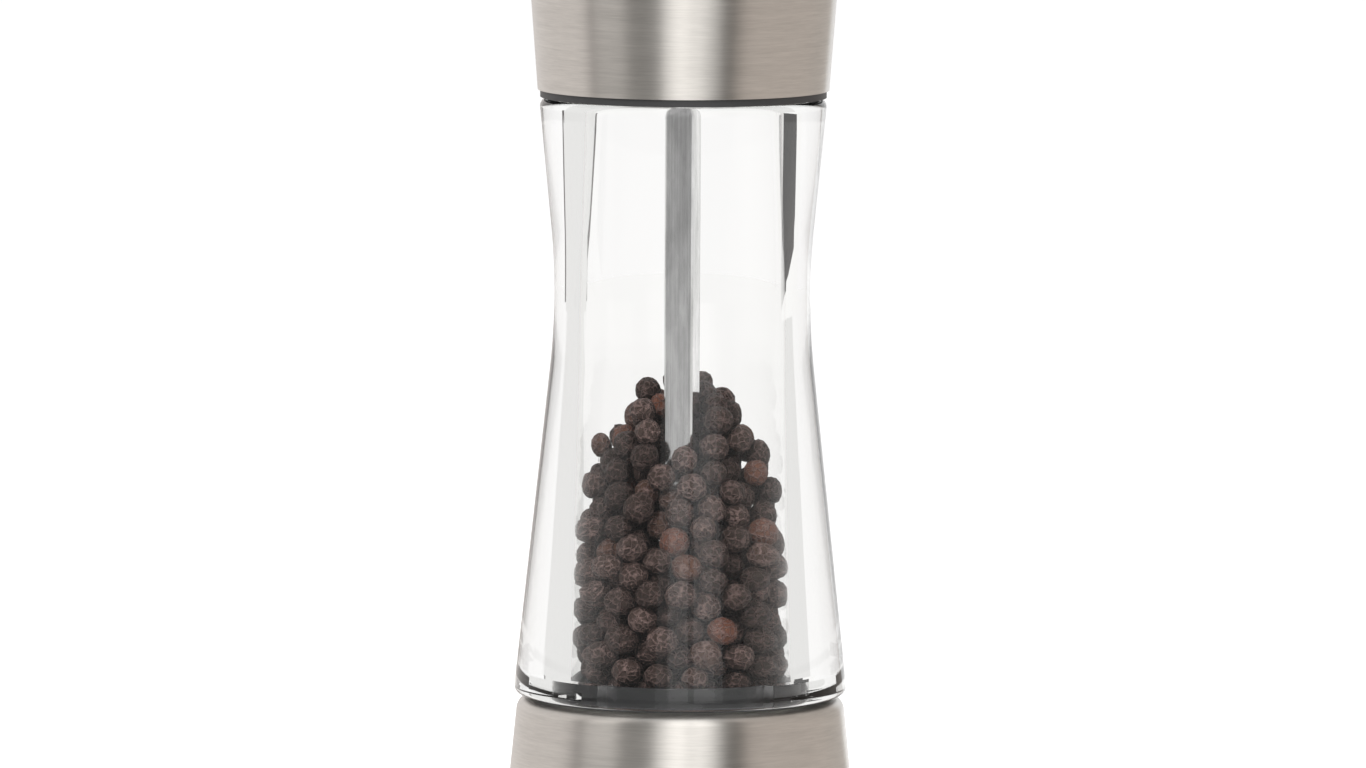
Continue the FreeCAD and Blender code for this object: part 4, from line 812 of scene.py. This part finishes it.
def seat(piece, body, node):
    """The piece moves with a body and stands in for a CAD node, which is hidden
    and gets the same finish."""
    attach(piece, body)
    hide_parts(node)
    paint(node, piece.data.materials[0])


def press(coil, joint):
    """Works out the share of the coil that stays when the joint lifts its foot fully, from the record's fixed
    end, and gives the coil a mesh of its own; nothing moves the coil's foot with the joint.
    """
    lift = next(j for j in frame["record"]["behaviour"]["joints"] if j["name"] == joint)
    deck = lift["deforming_nodes"][0]["fixed_end_z_m"]
    keep = 1 - lift["range_m"][1] / (deck - COIL_LOW.z)
    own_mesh(coil)


class MILL_OT_clear_body(bpy.types.Operator):
    """Makes the thick clear body"""

    bl_idname = "mill.clear_body"
    bl_label = "Clear body"

    def execute(self, context):
        scene = context.scene
        piece = clear_body(scene.mill_sizes, clear_acrylic(scene.mill_finish))
        seat(piece, "mill_body", "clear_body")
        return {"FINISHED"}


class MILL_OT_steel_skins(bpy.types.Operator):
    """Makes the brushed steel head, collar and grip ring"""

    bl_idname = "mill.steel_skins"
    bl_label = "Steel skins"

    def execute(self, context):
        scene = context.scene
        sizes = scene.mill_sizes
        steel = brushed_steel(scene.mill_finish)
        head = turned_cup("steel_head", head_section(sizes), steel, sizes.facets)
        seat(head, "head", "head_shell")
        collar = turned_ring("steel_collar", collar_section(sizes), steel, sizes.facets)
        seat(collar, "mill_body", "base_collar")
        grip = turned_ring("steel_grip", grip_section(sizes), steel, sizes.facets)
        seat(grip, "adjuster", "grip_skin")
        return {"FINISHED"}


class MILL_OT_pepper(bpy.types.Operator):
    """Fills the chamber with peppercorns"""

    bl_idname = "mill.pepper"
    bl_label = "Pepper"

    def execute(self, context):
        scene = context.scene
        piece = peppercorns(scene.mill_sizes, dried_pepper(scene.mill_finish))
        seat(piece, "mill_body", "peppercorns")
        return {"FINISHED"}


class MILL_OT_inner_works(bpy.types.Operator):
    """Makes the coil spring, and gives the shaft, the grinder and the moulded pieces their finishes"""

    bl_idname = "mill.inner_works"
    bl_label = "Inner works"

    def execute(self, context):
        finish = context.scene.mill_finish
        dark = moulded_plastic("dark_plastic", finish.plastic)
        pale = moulded_plastic("pale_plastic", finish.slip, rough=0.35)
        rubber = moulded_plastic("gasket_rubber", finish.rubber, grain=1000.0, rough=0.6)
        shaft = drawn_metal("drawn_shaft", finish.shaft, rough=0.05)
        burr = ground_metal("burr_steel", finish.burr, rough=0.3)
        bright = ground_metal("bright_steel", finish.bright, rough=0.15)
        finishes = {
            dark: ["base_housing", "burr_carrier", "grip_core", "head_core", "shaft_bush"],
            pale: ["glide_ring", "thrust_washer"],
            rubber: ["base_gasket"],
            shaft: ["drive_shaft"],
            burr: ["cone_burr", "ring_burr"],
            bright: ["click_spring", "burr_washer", "burr_screw", "carrier_screws", "shaft_clip"],
        }
        for material, nodes in finishes.items():
            for node in nodes:
                paint(node, material)
        coil = coil_spring(context.scene.mill_sizes, bright)
        seat(coil, "mill_body", "carrier_spring")
        press(coil, "ring_lift")
        return {"FINISHED"}


def look_from(place, target, roll=0.0):
    """The turn of a camera or lamp at a place that looks at a target."""
    turn = (Vector(target) - Vector(place)).to_track_quat("-Z", "Y")
    return (turn.to_matrix() @ Euler((0, 0, roll)).to_matrix()).to_euler()


def make_camera(stage):
    """The camera at the photograph's view."""
    data = bpy.data.cameras.new("camera")
    data.sensor_width = SENSOR_WIDTH
    data.lens = stage.focal_pixels / PHOTO_WIDTH * SENSOR_WIDTH
    data.clip_start = 0.01
    camera = bpy.data.objects.new("camera", data)
    camera.location = stage.eye
    camera.rotation_euler = look_from(stage.eye, stage.aim, stage.roll)
    bpy.context.scene.collection.objects.link(camera)
    bpy.context.scene.camera = camera


def make_lamp(name, place, side, power):
    """A soft square lamp, which only lights and isn't seen."""
    data = bpy.data.lights.new(name, "AREA")
    data.shape = "RECTANGLE"
    data.size = side
    data.size_y = side
    data.energy = power
    lamp = bpy.data.objects.new(name, data)
    lamp.location = place
    lamp.rotation_euler = look_from(place, LAMP_AIM)
    for kind in ("camera", "glossy", "transmission"):
        setattr(lamp, f"visible_{kind}", False)
    bpy.context.scene.collection.objects.link(lamp)


def make_world(stage):
    """White where the camera, metal or glass looks at it, and a softer light on everything else."""
    world = bpy.data.worlds.new("studio")
    bpy.context.scene.world = world
    sky = Nodes(world)
    kinds = ("Is Camera Ray", "Is Glossy Ray", "Is Transmission Ray")
    camera, glossy, clear = sky.node("LightPath", output=kinds)
    seen = camera.at_least(glossy).at_least(clear)
    strength = stage.ambient + seen * (1 - stage.ambient)
    light = sky.node("Background", {}, {"Color": (1, 1, 1), "Strength": strength})
    sky.node("OutputWorld", {}, {"Surface": light}, output=())


def glow(name, tone):
    """A plain emitting surface for a reflector card."""
    finish = Finish(name)
    return finish.done(finish.node("Emission", {}, {"Color": tone, "Strength": 1.0}))


def make_panel(name, seen_by, section, start, end, tone, foot=0.0, end_foot=0.0):
    """A panel that only one kind of ray sees: a section of reach and height, carried round the mill
    from one angle to another, with its lower edge raised evenly from one height to another."""
    share = np.linspace(0, 1, PANEL_STEPS + 1)
    angles = np.radians(start + share * (end - start))
    reach, height = np.array(section).T
    level = np.repeat(height[:, None], len(angles), axis=1)
    level[0] += foot + share * (end_foot - foot)
    points = round_axis(reach[:, None], level, angles - math.pi / 2)
    faces = grid_faces(len(reach), len(angles), rows_close=False, columns_close=False)
    panel = mesh_piece(name, points, faces.tolist(), glow(name, tone))
    for kind in ("camera", "diffuse", "glossy", "transmission", "shadow", "volume_scatter"):
        setattr(panel, f"visible_{kind}", kind == seen_by)


def make_panels():
    """The surroundings: panels that lie on the floor and bend up into walls for the steel and the
    polished faces, and far walls and stretches of floor for what is seen through the clear body."""
    foot = (FOOT_REACH, FLOOR_GAP)
    bend = (NEAR_REACH, FLOOR_GAP)
    low_edge = (NEAR_REACH, LOW_WALL)
    kinds = {
        "near": (NEAR_PANELS, "glossy", [foot, bend, low_edge]),
        "high": (HIGH_PANELS, "glossy", [low_edge, (NEAR_REACH, WALL_HEIGHT)]),
        "far": (FAR_WALLS, "transmission", [(FAR_REACH, FLOOR_GAP), (FAR_REACH, WALL_HEIGHT)]),
        "dark": (DARK_WALLS, "transmission", [(DARK_REACH, FLOOR_GAP), (DARK_REACH, DARK_HEIGHT)]),
        "floor": (FAR_FLOORS, "transmission", [foot, (FLOOR_REACH, FLOOR_GAP)]),
    }
    for kind, (panels, seen_by, section) in kinds.items():
        for i, panel in enumerate(panels):
            make_panel(f"panel_{kind}_{i}", seen_by, section, *panel)


def make_floor(stage):
    """A wide pale floor with a faint glow of its own, so it stays white and keeps a soft shadow."""
    finish = Finish("floor")
    mottle = finish.noise(finish.place(), scale=3.0)
    material = finish.done(finish.surface(
        Base_Color=finish.mix(mottle, (0.90, 0.90, 0.90), (0.92, 0.92, 0.92)),
        Roughness=0.9,
        Emission_Color=(1, 1, 1),
        Emission_Strength=stage.floor_glow,
    ))
    points = np.array([[-1, -1, 0], [1, -1, 0], [1, 1, 0], [-1, 1, 0]]) * (FLOOR_REACH + FLOOR_MARGIN)
    floor = mesh_piece("floor", points, [[0, 1, 2, 3]], material)


class MILL_OT_stage(bpy.types.Operator):
    """Sets up the floor, the light and the camera"""

    bl_idname = "mill.stage"
    bl_label = "Stage"

    def execute(self, context):
        stage = context.scene.mill_stage
        context.scene.view_settings.view_transform = "Standard"
        make_world(stage)
        make_floor(stage)
        make_camera(stage)
        make_panels()
        for name, lamp in LAMPS.items():
            make_lamp(name, *lamp)
        return {"FINISHED"}


class MILL_PT_panel(bpy.types.Panel):
    """Lists the mill's pieces"""

    bl_idname = "MILL_PT_panel"
    bl_label = "Pepper mill"
    bl_space_type = "VIEW_3D"
    bl_region_type = "UI"
    bl_category = "Mill"

    def draw(self, context):
        for operator in OPERATORS:
            self.layout.operator(operator.bl_idname)


GROUPS = {"mill_sizes": MillSizes, "mill_finish": MillFinish, "mill_stage": MillStage}
OPERATORS = [MILL_OT_clear_body, MILL_OT_steel_skins, MILL_OT_pepper, MILL_OT_inner_works, MILL_OT_stage]


def register():
    for cls in (*GROUPS.values(), *OPERATORS, MILL_PT_panel):
        bpy.utils.register_class(cls)
    for name, group in GROUPS.items():
        setattr(bpy.types.Scene, name, PointerProperty(type=group))


def unregister():
    for name in GROUPS:
        delattr(bpy.types.Scene, name)
    for cls in reversed((*GROUPS.values(), *OPERATORS, MILL_PT_panel)):
        bpy.utils.unregister_class(cls)


def main():
    register()
    bpy.ops.mill.clear_body()
    bpy.ops.mill.steel_skins()
    bpy.ops.mill.pepper()
    bpy.ops.mill.inner_works()
    bpy.ops.mill.stage()


if __name__ == "__main__":
    main()
